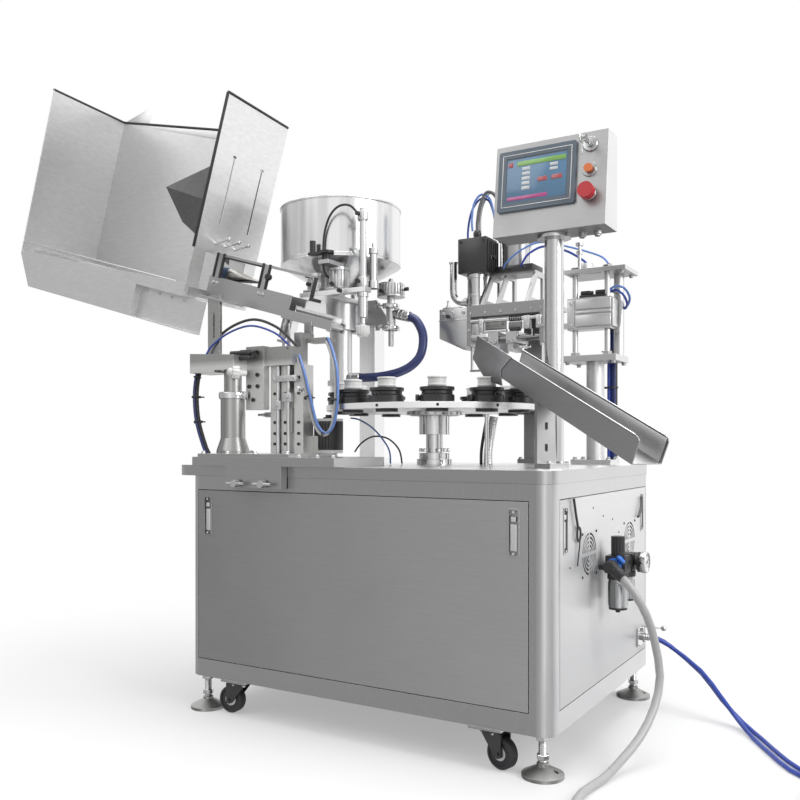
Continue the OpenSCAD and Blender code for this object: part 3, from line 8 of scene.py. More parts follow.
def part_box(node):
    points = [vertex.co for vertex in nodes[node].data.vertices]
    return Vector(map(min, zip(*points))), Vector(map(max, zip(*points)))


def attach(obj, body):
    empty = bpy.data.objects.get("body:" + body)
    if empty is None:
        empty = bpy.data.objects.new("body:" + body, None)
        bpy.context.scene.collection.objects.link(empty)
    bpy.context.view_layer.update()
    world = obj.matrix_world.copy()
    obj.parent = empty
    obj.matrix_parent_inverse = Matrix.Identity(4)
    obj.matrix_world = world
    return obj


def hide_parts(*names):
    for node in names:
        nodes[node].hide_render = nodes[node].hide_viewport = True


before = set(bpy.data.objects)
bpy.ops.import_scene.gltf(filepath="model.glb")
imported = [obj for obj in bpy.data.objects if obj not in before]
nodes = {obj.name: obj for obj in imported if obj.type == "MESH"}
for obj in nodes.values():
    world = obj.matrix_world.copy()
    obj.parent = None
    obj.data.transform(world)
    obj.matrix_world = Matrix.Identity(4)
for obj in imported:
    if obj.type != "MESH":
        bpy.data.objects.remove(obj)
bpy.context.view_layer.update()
print("frame loaded:", len(nodes), "nodes")


# finishes

def startMaterial(name, colour, rough, metal=0.0, **more):
    mat = bpy.data.materials.new(name)
    mat.use_nodes = True
    shader = mat.node_tree.nodes["Principled BSDF"]
    shader.inputs["Base Color"].default_value = (*colour, 1)
    shader.inputs["Roughness"].default_value = rough
    shader.inputs["Metallic"].default_value = metal
    for key, value in more.items():
        shader.inputs[key.replace("_", " ")].default_value = value
    mat.diffuse_color = (*colour, 1)
    return mat, mat.node_tree, shader


def link(tree, a, outName, b, inName):
    tree.links.new(a.outputs[outName], b.inputs[inName])


def addNode(tree, kind, values=(), **settings):
    node = tree.nodes.new("ShaderNode" + kind)
    for key, value in dict(values).items():
        node.inputs[key].default_value = value
    for key, value in settings.items():
        setattr(node, key, value)
    return node


def addRange(tree, fromMin, fromMax, toMin=0.0, toMax=1.0, **settings):
    values = {"From Min": fromMin, "From Max": fromMax, "To Min": toMin, "To Max": toMax}
    return addNode(tree, "MapRange", values, **settings)


def grain(tree, scale, stretch=(1, 1, 1)):  # noise in object space, stretched along one axis
    coords = addNode(tree, "TexCoord")
    mapping = addNode(tree, "Mapping", {"Scale": stretch})
    noise = addNode(tree, "TexNoise", {"Scale": scale, "Detail": 3.0})
    link(tree, coords, "Object", mapping, "Vector")
    link(tree, mapping, "Vector", noise, "Vector")
    return noise


noiseSpan = (0.3, 0.7)  # the part of the noise that is used


def spread(tree, source, low, high):  # maps noise to a range
    node = addRange(tree, *noiseSpan, low, high)
    link(tree, source, "Fac", node, "Value")
    return node


def shade(colour, k):
    return tuple(min(1, c * k) for c in colour)


def tint(tree, source, colour, vary):  # colour ramp between a darker and a lighter shade
    ramp = addNode(tree, "ValToRGB")
    for stop, position, k in zip(ramp.color_ramp.elements, noiseSpan, (1 - vary, 1 + vary)):
        stop.position = position
        stop.color = (*shade(colour, k), 1)
    link(tree, source, "Fac", ramp, "Fac")
    return ramp


def bump(tree, shader, source, strength, distance, softEdge):
    node = addNode(tree, "Bump", {"Strength": strength, "Distance": distance})
    link(tree, source, "Fac", node, "Height")
    edge = addNode(tree, "Bevel", {"Radius": softEdge}, samples=4)
    link(tree, edge, "Normal", node, "Normal")
    link(tree, node, "Normal", shader, "Normal")


def multiplied(tree, source, outName, factor, factorOut):
    product = addNode(tree, "Mix", data_type="RGBA", blend_type="MULTIPLY")
    product.inputs[0].default_value = 1
    link(tree, source, outName, product, 6)
    link(tree, factor, factorOut, product, 7)
    return product


# painted reflection and shade: the tone painted into the base colour at each heading of a face, in degrees,
# dark to the front and bright to the right
paintedShadeByHeading = [(-180, 0.40), (-150, 0.26), (-128, 0.22), (-108, 0.40), (-90, 0.34), (-76, 0.50), (-62, 0.92),
             (-50, 0.62), (-34, 0.50), (-14, 0.90), (0, 1.00), (24, 0.85), (45, 0.45), (66, 0.80), (90, 0.56),
             (112, 0.80), (136, 0.40), (160, 0.62), (180, 0.40)]
paintedShadeUpDown = {"down": 0.24, "from": 0.35, "to": 0.92}  # painted light and shade on faces that look up or down


def paintedFacingShade(tree, source, amount, paintedUpFaceTone):  # painted reflection and shade: tones the base colour by the face's direction, as the room's bright and dark sides would light and reflect in it
    def eased(tone):
        tone = 1 - amount * (1 - tone)
        return tone, tone, tone, 1

    parts = addNode(tree, "SeparateXYZ")
    link(tree, addNode(tree, "NewGeometry"), "Normal", parts, 0)
    angle = addNode(tree, "Math", operation="ARCTAN2")
    link(tree, parts, "Y", angle, 0)
    link(tree, parts, "X", angle, 1)
    turn = addRange(tree, -math.pi, math.pi)
    link(tree, angle, 0, turn, "Value")
    ramp = addNode(tree, "ValToRGB")
    stops = ramp.color_ramp.elements
    while len(stops) < len(paintedShadeByHeading):
        stops.new(0.5)
    for stop, (degrees, tone) in zip(stops, paintedShadeByHeading):
        stop.position = (degrees + 180) / 360
        stop.color = eased(tone)
    link(tree, turn, "Result", ramp, "Fac")
    last, lastOut = ramp, "Color"
    for sign, tone in ((1, paintedUpFaceTone), (-1, paintedShadeUpDown["down"])):
        lift = addNode(tree, "Math", {1: sign}, operation="MULTIPLY")
        link(tree, parts, "Z", lift, 0)
        weight = addRange(tree, paintedShadeUpDown["from"], paintedShadeUpDown["to"], interpolation_type="SMOOTHSTEP")
        link(tree, lift, 0, weight, "Value")
        blend = addNode(tree, "Mix", data_type="RGBA")
        blend.inputs[7].default_value = eased(tone)
        link(tree, weight, "Result", blend, 0)
        link(tree, last, lastOut, blend, 6)
        last, lastOut = blend, 2
    return multiplied(tree, source, "Color", last, lastOut)


def swept(tree, source, axis, *span):  # slow change of tone along one axis of the object; on the front and side panels it is a painted reflection and shade gradient
    parts = addNode(tree, "SeparateXYZ")
    link(tree, addNode(tree, "TexCoord"), "Object", parts, 0)
    along = addRange(tree, *span)
    link(tree, parts, axis, along, "Value")
    return multiplied(tree, source, 2, along, "Result")


# tone scales the painted reflection and shade by face direction; the up-face tone is the painted tone of
# faces that look up
def metalFinish(name, colour, rough, stretch, scale=60, vary=0.06, bumpBy=0.12,
                tone=1.0, paintedUpFaceTone=0.95, metal=1.0, sweep=None):
    mat, tree, shader = startMaterial(name, colour, rough, metal)
    streaks = grain(tree, scale, stretch)
    toned = paintedFacingShade(tree, tint(tree, streaks, colour, vary), tone, paintedUpFaceTone)
    if sweep:
        toned = swept(tree, toned, *sweep)
    link(tree, toned, 2, shader, "Base Color")
    link(tree, spread(tree, grain(tree, 4), rough * 0.82, rough * 1.2), "Result", shader, "Roughness")
    bump(tree, shader, streaks, bumpBy, 0.0004, 0.0015)
    return mat


def plasticFinish(name, colour, rough, speck=240, vary=0.08, bumpBy=0.15, **more):
    mat, tree, shader = startMaterial(name, colour, rough, 0.0, **more)
    grit = grain(tree, speck)
    link(tree, tint(tree, grit, colour, vary), "Color", shader, "Base Color")
    link(tree, spread(tree, grain(tree, 9), rough * 0.85, min(1, rough * 1.15)), "Result",
         shader, "Roughness")
    bump(tree, shader, grit, bumpBy, 0.0002, 0.001)
    return mat


def grey(tone):
    return tone, tone, tone


finish = {
    "brushedX": metalFinish("brushed_steel_along", grey(0.70), 0.36, (0.4, 30, 30)),
    "brushedZ": metalFinish("brushed_steel_upright", grey(0.70), 0.36, (30, 30, 0.4)),
    "sheetSteel": metalFinish("sheet_steel", grey(0.70), 0.38, (6, 6, 6), 30, tone=0.8),
    "binSteel": metalFinish("bin_sheet", grey(0.92), 0.34, (3, 3, 12), 12, 0.05, 0.06, tone=0.84, metal=0.8),
    # painted light: the table top's upward faces are painted brighter
    "tableSteel": metalFinish("table_steel", grey(0.68), 0.30, (0.4, 30, 30), paintedUpFaceTone=1.4),
    "dialAlloy": metalFinish("dial_alloy", grey(0.88), 0.35, (5, 5, 5), 60, 0.03, tone=0.4),
    "columnSteel": metalFinish("column_steel", (0.52, 0.52, 0.51), 0.30, (20, 20, 0.6), 40, 0.05),
    # painted reflection: the front panel's base colour grows lighter towards +X
    "frontSteel": metalFinish("front_panel_steel", grey(0.66), 0.42, (0.3, 30, 30),
                              sweep=("X", -0.55, 0.50, 0.88, 1.26)),
    # painted shade: the side panel's base colour grows darker towards the bottom
    "sideSteel": metalFinish("side_panel_steel", grey(0.80), 0.36, (30, 0.3, 30), bumpBy=0.06, metal=0.45,
                             sweep=("Z", 0.10, 0.60, 0.72, 1.04)),
    "mirrorSteel": metalFinish("polished_steel", (0.84, 0.84, 0.85), 0.16, (4, 4, 4), 20, 0.02,
                               0.03, tone=0.9),
    "tankSteel": metalFinish("tank_steel", grey(0.86), 0.20, (10, 10, 0.1), 3, 0.14, 0.03, tone=0.55),
    "castAlloy": metalFinish("cast_alloy", grey(0.80), 0.40, (5, 5, 5), 50, tone=0.75),
    "headAlloy": metalFinish("head_alloy", (0.46, 0.46, 0.45), 0.42, (5, 5, 5), 50, tone=0.7,
                             sweep=("Z", 0.985, 1.004, 1.9, 1.0)),
    "linerSteel": metalFinish("liner_steel", grey(0.56), 0.40, (1, 20, 20), 40, tone=0.15),
    "cupAlloy": metalFinish("flip_alloy", grey(0.84), 0.30, (5, 5, 5), 60, 0.03, tone=0.55),
    # painted shade: the deflector sheet gets two dark tones, the lower face darker, painted for the dark it
    # reflects and its shade
    "deflectorPaintedLowerShade": plasticFinish("deflector_painted_lower_shade", (0.065, 0.065, 0.066), 0.5, 60, 0.15, 0.1),
    "deflectorPaintedUpperShade": plasticFinish("deflector_painted_upper_shade", (0.095, 0.095, 0.096), 0.5, 60, 0.15, 0.1),
    "standSteel": metalFinish("stand_steel", grey(0.90), 0.34, (20, 20, 0.3), 40, 0.05, tone=0.3),
    "darkAlloy": metalFinish("dark_alloy", (0.46, 0.46, 0.45), 0.42, (5, 5, 5), 50),
    "platedAlloy": metalFinish("anodised_alloy", (0.80, 0.80, 0.81), 0.33, (5, 5, 5), 60, tone=0.8),
    # painted light: the chute's upward faces are painted brighter
    "chuteSteel": metalFinish("chute_steel", (0.66, 0.66, 0.67), 0.36, (1, 1, 20), 40, paintedUpFaceTone=1.3),
    "boxPaint": metalFinish("control_box_steel", grey(0.82), 0.44, (0.6, 20, 20), 50, 0.03, 0.05, tone=0.92),
    "drivePaint": plasticFinish("drive_paint", (0.20, 0.23, 0.27), 0.5, 200),
    "blackPlastic": plasticFinish("black_moulding", (0.018, 0.018, 0.02), 0.42),
    "blackMetal": plasticFinish("black_anodised", (0.02, 0.02, 0.022), 0.35, 300, 0.1, 0.06),
    "whitePlastic": plasticFinish("white_moulding", (0.88, 0.88, 0.87), 0.35, 200, 0.02, 0.05),
    "bezel": plasticFinish("panel_bezel", (0.115, 0.15, 0.19), 0.4, 260, 0.05, 0.06),
    "amberLens": plasticFinish("amber_lens", (0.90, 0.22, 0.05), 0.2, 120, 0.05, 0.03),
    "redPlastic": plasticFinish("red_moulding", (0.62, 0.02, 0.03), 0.3, 180, 0.04, 0.04),
    "wheelRubber": plasticFinish("wheel_rubber", (0.03, 0.03, 0.033), 0.7, 160, 0.15, 0.3),
    "blueHose": plasticFinish("blue_hose", (0.025, 0.06, 0.36), 0.32, 90, 0.1, 0.05),
    "darkBlueHose": plasticFinish("dark_blue_hose", (0.025, 0.035, 0.14), 0.35, 90, 0.12, 0.06),
    "paleBlueHose": plasticFinish("pale_blue_tube", (0.13, 0.25, 0.62), 0.3, 90, 0.1, 0.05),
    "greyCable": plasticFinish("grey_sleeve", (0.12, 0.12, 0.125), 0.5, 500, 0.3, 0.5),
    "clearHose": plasticFinish("clear_tube", (0.80, 0.82, 0.82), 0.15, 90, 0.02, 0.03,
                               Transmission_Weight=0.55, IOR=1.38),
    "bowlGuard": metalFinish("bowl_guard", (0.60, 0.61, 0.62), 0.22, (6, 6, 1), 40),
    "whiteSteel": metalFinish("satin_plate", grey(0.82), 0.45, (4, 4, 4), 60, 0.02, 0.04, tone=0.7),
    "rubberTrim": plasticFinish("rubber_edging", grey(0.03), 0.65, 300, 0.2, 0.3),
    "tubeFoil": metalFinish("tube_foil", (0.66, 0.64, 0.60), 0.28, (3, 12, 12), 30, 0.04, 0.06),
    "capBlue": plasticFinish("cap_moulding", (0.10, 0.16, 0.27), 0.35, 160, 0.06, 0.06),
    "blueMoulding": plasticFinish("blue_moulding", (0.02, 0.16, 0.62), 0.35, 160, 0.06, 0.06),
    "screenBlue": plasticFinish("screen_blue", (0.13, 0.27, 0.44), 0.15, 40, 0.03, 0.01),
    "screenGreen": plasticFinish("screen_green", (0.28, 0.56, 0.14), 0.15, 40, 0.03, 0.01),
    "screenRed": plasticFinish("screen_red", (0.52, 0.11, 0.12), 0.15, 40, 0.03, 0.01),
    "screenPink": plasticFinish("screen_pink", (0.55, 0.10, 0.30), 0.15, 40, 0.03, 0.01),
    "screenWhite": plasticFinish("screen_white", (0.75, 0.78, 0.80), 0.15, 40, 0.02, 0.01),
    "whiteHose": plasticFinish("white_hose", grey(0.47), 0.3, 90, 0.02, 0.04),
}

nodeFinish = {
    "brushedZ": ["cabinet_frame"],
    "brushedX": ["loader_base", "sealer_frame", "chute_bracket", "feed_rail"],
    "tableSteel": ["table_top"],
    "dialAlloy": ["dial_plate"],
    "columnSteel": ["loader_column"],
    "binSteel": ["tube_bin", "bin_end_wall"],
    "frontSteel": ["front_panel"],
    "sideSteel": ["side_panel"],
    "chuteSteel": ["discharge_chute"],
    "tankSteel": ["filling_tank"],
    "mirrorSteel": ["hmi_pole", "index_shaft", "ejector_rod", "nozzle_needle", "index_column", "stop_gate",
                    "clamp_screw_left", "clamp_screw_right", "key_switch", "hose_ends"],
    "castAlloy": ["trim_stand"],
    "darkAlloy": ["levelling_feet"],
    "headAlloy": ["loader_head"],
    "standSteel": ["tank_stand"],
    "cupAlloy": ["flip_cup"],
    "platedAlloy": ["trim_carriage", "filling_head", "jaw_inner", "jaw_outer"],
    "boxPaint": ["hmi_box"],
    "drivePaint": ["index_drive", "electrical_panel"],
    "blackPlastic": ["fan_housing", "fan_rotor", "valve_lever", "filter_regulator", "regulator_knob",
                     "caster_fork_fl", "caster_fork_fr", "caster_fork_rl", "caster_fork_rr"],
    "blackMetal": ["cup_holders", "sealer_head"],
    "whitePlastic": ["cup_inserts"],
    "bezel": ["touch_panel"],
    "amberLens": ["start_button"],
    "redPlastic": ["stop_button"],
    "wheelRubber": ["caster_wheel_fl", "caster_wheel_fr", "caster_wheel_rl", "caster_wheel_rr"],
    "blueHose": ["hoses", "water_hoses", "water_coil"],
    "whiteHose": ["air_hose", "air_coil"],
}
for key, names in nodeFinish.items():
    for name in names:
        nodes[name].data.materials.clear()
        nodes[name].data.materials.append(finish[key])
print("finishes set:", len(finish))


# camera, floor and light

shot = {"at": (1.2508, -2.2390, 0.7624), "turn": (89.9, 0, 30.89), "lens": 39.1, "sensor": 36,
        "shift": (0.001, 0.0558)}
camera = bpy.data.objects.new("camera", bpy.data.cameras.new("camera"))
bpy.context.scene.collection.objects.link(camera)
camera.location = shot["at"]
camera.rotation_euler = [math.radians(a) for a in shot["turn"]]
camera.data.lens = shot["lens"]
camera.data.sensor_width = shot["sensor"]
camera.data.shift_x, camera.data.shift_y = shot["shift"]
camera.data.clip_end = 100
bpy.context.scene.camera = camera

studio = {"floorHalf": 14, "floorColour": grey(0.90), "world": 0.55,
          "fade": (0.7, 2.3, 0.35, 1.0),
          "lamps": [("key", (-2.2, -3.4, 4.2), 2.6, 45), ("side", (4.6, -0.6, 2.6), 2.4, 120),
                    ("top", (0.3, 0.2, 4.6), 3.0, 110)]}
mesh = bpy.data.meshes.new("floor")
half = studio["floorHalf"]
mesh.from_pydata([(-half, -half, 0), (half, -half, 0), (half, half, 0), (-half, half, 0)], [], [(0, 1, 2, 3)])
floor = bpy.data.objects.new("floor", mesh)
bpy.context.scene.collection.objects.link(floor)


def seenRays(tree):  # 1 where the camera, a reflection or glass looks at it
    path = addNode(tree, "LightPath")
    last, lastOut = path, "Is Camera Ray"
    for ray in ("Is Glossy Ray", "Is Transmission Ray"):
        either = addNode(tree, "Math", operation="MAXIMUM")
        link(tree, last, lastOut, either, 0)
        link(tree, path, ray, either, 1)
        last, lastOut = either, 0
    return last


def mixed(tree, factor, factorOut, first, firstOut, second, secondOut, end):
    blend = addNode(tree, "MixShader")
    link(tree, factor, factorOut, blend, 0)
    link(tree, first, firstOut, blend, 1)
    link(tree, second, secondOut, blend, 2)
    link(tree, blend, "Shader", tree.nodes[end], "Surface")


mat, tree, shader = startMaterial("pale_floor", studio["floorColour"], 0.9)
link(tree, tint(tree, grain(tree, 3), studio["floorColour"], 0.01), "Color", shader, "Base Color")
glow = addNode(tree, "Emission", {"Color": (1, 1, 1, 1)})
link(tree, seenRays(tree), 0, glow, "Strength")
reach = addNode(tree, "VectorMath", operation="LENGTH")
link(tree, addNode(tree, "TexCoord"), "Object", reach, 0)
fade = addRange(tree, *studio["fade"], interpolation_type="SMOOTHSTEP")
link(tree, reach, "Value", fade, "Value")
mixed(tree, fade, "Result", shader, "BSDF", glow, "Emission", "Material Output")
mesh.materials.append(mat)

world = bpy.data.worlds.new("studio")
bpy.context.scene.world = world
world.use_nodes = True
tree = world.node_tree
ambient = tree.nodes["Background"]
ambient.inputs["Strength"].default_value = studio["world"]
ambient.inputs["Color"].default_value = (1, 1, 1, 1)
white = addNode(tree, "Background", {"Color": (1, 1, 1, 1), "Strength": 1.0})
mixed(tree, seenRays(tree), 0, ambient, "Background", white, "Background", "World Output")
for name, at, size, power in studio["lamps"]:
    lamp = bpy.data.lights.new(name, "AREA")
    lamp.energy = power
    lamp.shape = "SQUARE"
    lamp.size = size
    lampObject = bpy.data.objects.new(name, lamp)
    bpy.context.scene.collection.objects.link(lampObject)
    lampObject.location = at
    lampObject.rotation_euler = (Vector((0, 0, 0.9)) - Vector(at)).to_track_quat("-Z", "Y").to_euler()
bpy.context.scene.view_settings.view_transform = "Standard"
print("studio ready")


# paths and tubes

def smoothPath(points, steps):  # passes through every point
    p = [Vector(q) for q in points]
    out = []
    for i in range(len(p) - 1):
        a, b, c, d = p[max(i - 1, 0)], p[i], p[i + 1], p[min(i + 2, len(p) - 1)]
        for k in range(steps):
            t = k / steps
            out.append(0.5 * (2 * b + (c - a) * t + (2 * a - 5 * b + 4 * c - d) * t * t
                              + (3 * b - a - 3 * c + d) * t ** 3))
    return out + [p[-1]]


def pathLength(points):
    return sum((b - a).length for a, b in zip(points, points[1:]))


def hoseCurve(name, points, diameter, material):
    data = bpy.data.curves.new(name, "CURVE")
    data.dimensions = "3D"
    data.bevel_depth = diameter / 2
    data.bevel_resolution = 4
    data.use_fill_caps = True
    line = data.splines.new("POLY")
    line.points.add(len(points) - 1)
    for spot, p in zip(line.points, points):
        spot.co = (*p, 1)
    line.use_smooth = True
    data.materials.append(material)
    piece = bpy.data.objects.new(name, data)
    bpy.context.scene.collection.objects.link(piece)
    return piece


# modelling tools, in millimetres

def joinPart(bm, part, place):  # adds one small mesh to a piece
    holder = bpy.data.meshes.new("part")
    part.to_mesh(holder)
    part.free()
    holder.transform(place)
    bm.from_mesh(holder)
    bpy.data.meshes.remove(holder)


front, back, left, right = (0, -1, 0), (0, 1, 0), (-1, 0, 0), (1, 0, 0)
up, down = (0, 0, 1), (0, 0, -1)
moved = Matrix.Translation


def upright(at, axis=up):  # place with Z along an axis
    turn = Vector(axis).normalized().to_track_quat("Z", "Y").to_matrix().to_4x4()
    return moved(Vector(at)) @ turn


def circle(count):  # angles once round
    return [2 * math.pi * k / count for k in range(count)]


def softened(part, edge):
    if edge:
        bmesh.ops.bevel(part, geom=part.edges[:], offset=edge, segments=2, profile=0.5, affect="EDGES")


def putBox(bm, low, high, edge=1.0, place=Matrix()):
    part = bmesh.new()
    bmesh.ops.create_cube(part, size=1)
    size = [h - l for l, h in zip(low, high)]
    middle = [(h + l) / 2 for l, h in zip(low, high)]
    bmesh.ops.transform(part, matrix=moved(middle) @ Matrix.Diagonal((*size, 1)), verts=part.verts)
    softened(part, edge)
    joinPart(bm, part, place)


def putLathe(bm, profile, place=Matrix(), steps=32):  # turns (radius, height) pairs about Z
    part = bmesh.new()
    rings = []
    for r, z in profile:
        if r < 0.01:
            rings.append([part.verts.new((0, 0, z))])
        else:
            rings.append([part.verts.new((r * math.cos(a), r * math.sin(a), z)) for a in circle(steps)])
    for a, b in zip(rings, rings[1:]):
        for k in range(steps):
            j = (k + 1) % steps
            corners = [a[k % len(a)], a[j % len(a)], b[j % len(b)], b[k % len(b)]]
            corners = [v for i, v in enumerate(corners) if v not in corners[:i]]
            if len(corners) > 2:
                part.faces.new(corners)
    bmesh.ops.recalc_face_normals(part, faces=part.faces[:])
    joinPart(bm, part, place)


def putOutline(bm, outline, depth, place=Matrix(), edge=0.0):  # extrudes an XY outline along Z
    part = bmesh.new()
    face = part.faces.new([part.verts.new((x, y, 0)) for x, y in outline])
    extruded = bmesh.ops.extrude_face_region(part, geom=[face])["geom"]
    bmesh.ops.translate(part, vec=(0, 0, depth), verts=[g for g in extruded if isinstance(g,
            bmesh.types.BMVert)])
    bmesh.ops.recalc_face_normals(part, faces=part.faces[:])
    softened(part, edge)
    joinPart(bm, part, place)


def socketBolt(bm, at, axis, d, h):  # cap screw with its socket
    r = d / 2
    putLathe(bm, [(0, -1), (r, -1), (r, h * 0.86), (r * 0.88, h), (r * 0.56, h), (r * 0.5, h * 0.45),
                  (0, h * 0.45)], upright(at, axis), 18)


def hexBolt(bm, at, axis, d, h):  # hexagon head on its washer
    r = d / 2
    putLathe(bm, [(0, -0.5), (r * 1.3, -0.5), (r * 1.3, h * 0.2), (r * 0.9, h * 0.24), (0, h * 0.24)],
             upright(at, axis), 24)
    putLathe(bm, [(0, 0), (r, 0), (r, h * 0.86), (r * 0.86, h), (0, h)], upright(at, axis), 6)


def ringOf(centre, r, count, z, start=0):
    angles = [math.radians(start + 360 * k / count) for k in range(count)]
    return [(centre[0] + r * math.cos(a), centre[1] + r * math.sin(a), z) for a in angles]


def flutes(rIn, rOut, count, gap=0.36):  # outline of a ribbed barrel
    out = []
    for k in range(count):
        for share, r in ((0, rOut), (1 - gap, rOut), (1 - gap * 0.85, rIn), (1 - gap * 0.15, rIn)):
            a = 2 * math.pi * (k + share) / count
            out.append((r * math.cos(a), r * math.sin(a)))
    return out


def addPiece(name, bm, look, body="machine", place=Matrix(), sharp=32):
    data = bpy.data.meshes.new(name)
    bm.to_mesh(data)
    bm.free()
    data.transform(Matrix.Scale(0.001, 4) @ place)
    data.polygons.foreach_set("use_smooth", [True] * len(data.polygons))
    data.set_sharp_from_angle(angle=math.radians(sharp))
    data.materials.append(finish[look])
    piece = bpy.data.objects.new(name, data)
    bpy.context.scene.collection.objects.link(piece)
    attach(piece, body)
    return piece


def addHose(name, points, diameter, look, body="machine"):
    line = [p * 0.001 for p in smoothPath(points, 6)]
    piece = hoseCurve(name, line, diameter * 0.001, finish[look])
    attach(piece, body)
    return piece


def turned(axis, degrees):
    return Matrix.Rotation(math.radians(degrees), 4, axis)


def boxOf(name):  # corners and middle of a node
    low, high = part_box(name)
    middle = Vector([(a + b) * 500 for a, b in zip(low, high)])
    return [v * 1000 for v in low], [v * 1000 for v in high], middle


chuteTop, chuteYaw, chuteSlope = (262, -133, 962), -30, 24.6
controlBox = {"x": 437, "y": -146, "z": 1302.3, "lean": -7, "pole": (437, -94)}
binFrame = moved((-614, -324, 1349)) @ turned("Z", 6) @ turned("Y", 16)
chuteFrame = moved(chuteTop) @ turned("Z", chuteYaw) @ turned("Y", chuteSlope)
faceFrame = moved([controlBox[key] for key in "xyz"]) @ turned("X", controlBox["lean"])


# cabinet fittings

pulls = {"front": [(-480, 557), (456, 557)], "side": [(-319, 560), (324, 560)],
         "frontFace": -403, "sideFace": 550, "plate": (17, 84), "pocket": 10, "screw": 6}
for body, key in (("front_panel", "front"), ("machine", "side")):
    bm = bmesh.new()
    w, h = pulls["plate"]
    for along, z in pulls[key]:
        place = moved((along, pulls["frontFace"], z))
        if key == "side":
            place = moved((pulls["sideFace"], along, z)) @ turned("Z", 90)
        putBox(bm, (-w / 2, 1.5, -h / 2), (w / 2, pulls["pocket"] - 1, h / 2 - 22), 1.2, place)
        putBox(bm, (-w / 2 + 2, -0.6, h / 2 - 17), (w / 2 - 2, pulls["pocket"] - 1, h / 2 - 5), 1.5, place)
        for s in (-1, 1):
            at = place @ Vector((0, -1.2, s * (h / 2 + 6)))
            socketBolt(bm, at, place.to_3x3() @ Vector(front), pulls["screw"], 1.6)
    addPiece("pullPlates" + key.capitalize(), bm, "whiteSteel", body)

bm = bmesh.new()
vents = {"y": (-149, 197), "z": 488, "square": 52.5, "screw": 7, "face": pulls["sideFace"] - 0.4}
for y in vents["y"]:
    for dy in (-vents["square"], vents["square"]):
        for dz in (-vents["square"], vents["square"]):
            socketBolt(bm, (vents["face"], y + dy, vents["z"] + dz), right, vents["screw"], 2)
for y, z in ((-40, 574), (40, 560), (96, 520), (-290, 470), (-120, 600), (310, 440)):
    socketBolt(bm, (vents["face"], y, z), right, 5, 1.5)
addPiece("sidePanelScrews", bm, "blackMetal")

waterPort = {"y": (294, 316), "z": 198, "lever": 62}
bm = bmesh.new()
putBox(bm, (550, 270, 172), (555, 340, 226), 1.5)
for y in waterPort["y"]:
    putLathe(bm, [(0, 0), (9.5, 0), (9.5, 9), (8.5, 10), (0, 10)],
             upright((555, y, waterPort["z"]), right), 6)
    putLathe(bm, [(6.6, 0), (8.4, 0), (8.4, 4), (7.4, 5), (8.4, 6), (8.4, 10), (7.4, 11), (8.4, 12),
                  (8.4, 17), (6.6, 18)], upright((564, y, waterPort["z"]), right), 24)
putLathe(bm, [(0, 0), (7, 0), (7, 12), (5, 14), (0, 14)], upright((560, 305, 212), up), 20)
for y, z in ((276, 178), (334, 178), (276, 220), (334, 220)):
    socketBolt(bm, (555, y, z), right, 6, 3)
addPiece("waterPortBlock", bm, "mirrorSteel")
bm = bmesh.new()
putBox(bm, (557, 300, 226), (557 + waterPort["lever"], 310, 229), 1)
putLathe(bm, [(0, -8), (5, -7), (8, -3), (8, 3), (5, 7), (0, 8)],
         upright((557 + waterPort["lever"], 305, 228), (1, 0, 0.2)), 20)
addPiece("waterPortLever", bm, "mirrorSteel")

footThread = {"at": [(sx * 513, sy * 366) for sx in (-1, 1) for sy in (-1, 1)],
              "r": 9.2, "core": 5, "z": (34, 98), "pitch": 4}
r, core, (low, high), pitch = [footThread[key] for key in ("r", "core", "z", "pitch")]
profile = [(core, low)]
for z in range(low, high, pitch):
    profile += [(r, z), (r + 1.1, z + pitch / 2)]
profile += [(r, high), (core, high)]
bm = bmesh.new()
for x, y in footThread["at"]:
    putLathe(bm, profile, moved((x, y, 0)), 24)
    putLathe(bm, [(9, 84), (17, 84), (17, 96), (15.5, 98), (9, 98)], moved((x, y, 0)), 6)
    putLathe(bm, [(9, 40), (15, 40), (15, 50), (13.5, 52), (9, 52)], moved((x, y, 0)), 6)
addPiece("footStuds", bm, "mirrorSteel")

casters = {"fl": (-385, -366, 186), "fr": (385, -366, -14), "rl": (-385, 366, 172), "rr": (385, 366, 10)}
for key, (x, y, yaw) in casters.items():
    centre = boxOf("caster_wheel_" + key)[2]
    axle = Vector((math.cos(math.radians(yaw)), math.sin(math.radians(yaw)), 0)).cross(Vector(up))
    bm = bmesh.new()
    for s in (-1, 1):
        hub = centre + axle * s * 11.2
        putLathe(bm, [(0, -1), (17, -1), (17, 0.8), (14, 1.6), (9, 1.2), (7, 2.4), (0, 2.4)],
                 upright(hub, axle * s), 28)
    addPiece("wheelHub_" + key, bm, "castAlloy", "wheel_" + key)
    bm = bmesh.new()
    top = boxOf("caster_fork_" + key)[1][2]
    for at in ringOf((x, y), 24, 4, top - 9, yaw + 45):
        hexBolt(bm, at, down, 9, 5)
    addPiece("forkBolts_" + key, bm, "mirrorSteel", "fork_" + key)
print("cabinet fitted")


# indexing dial

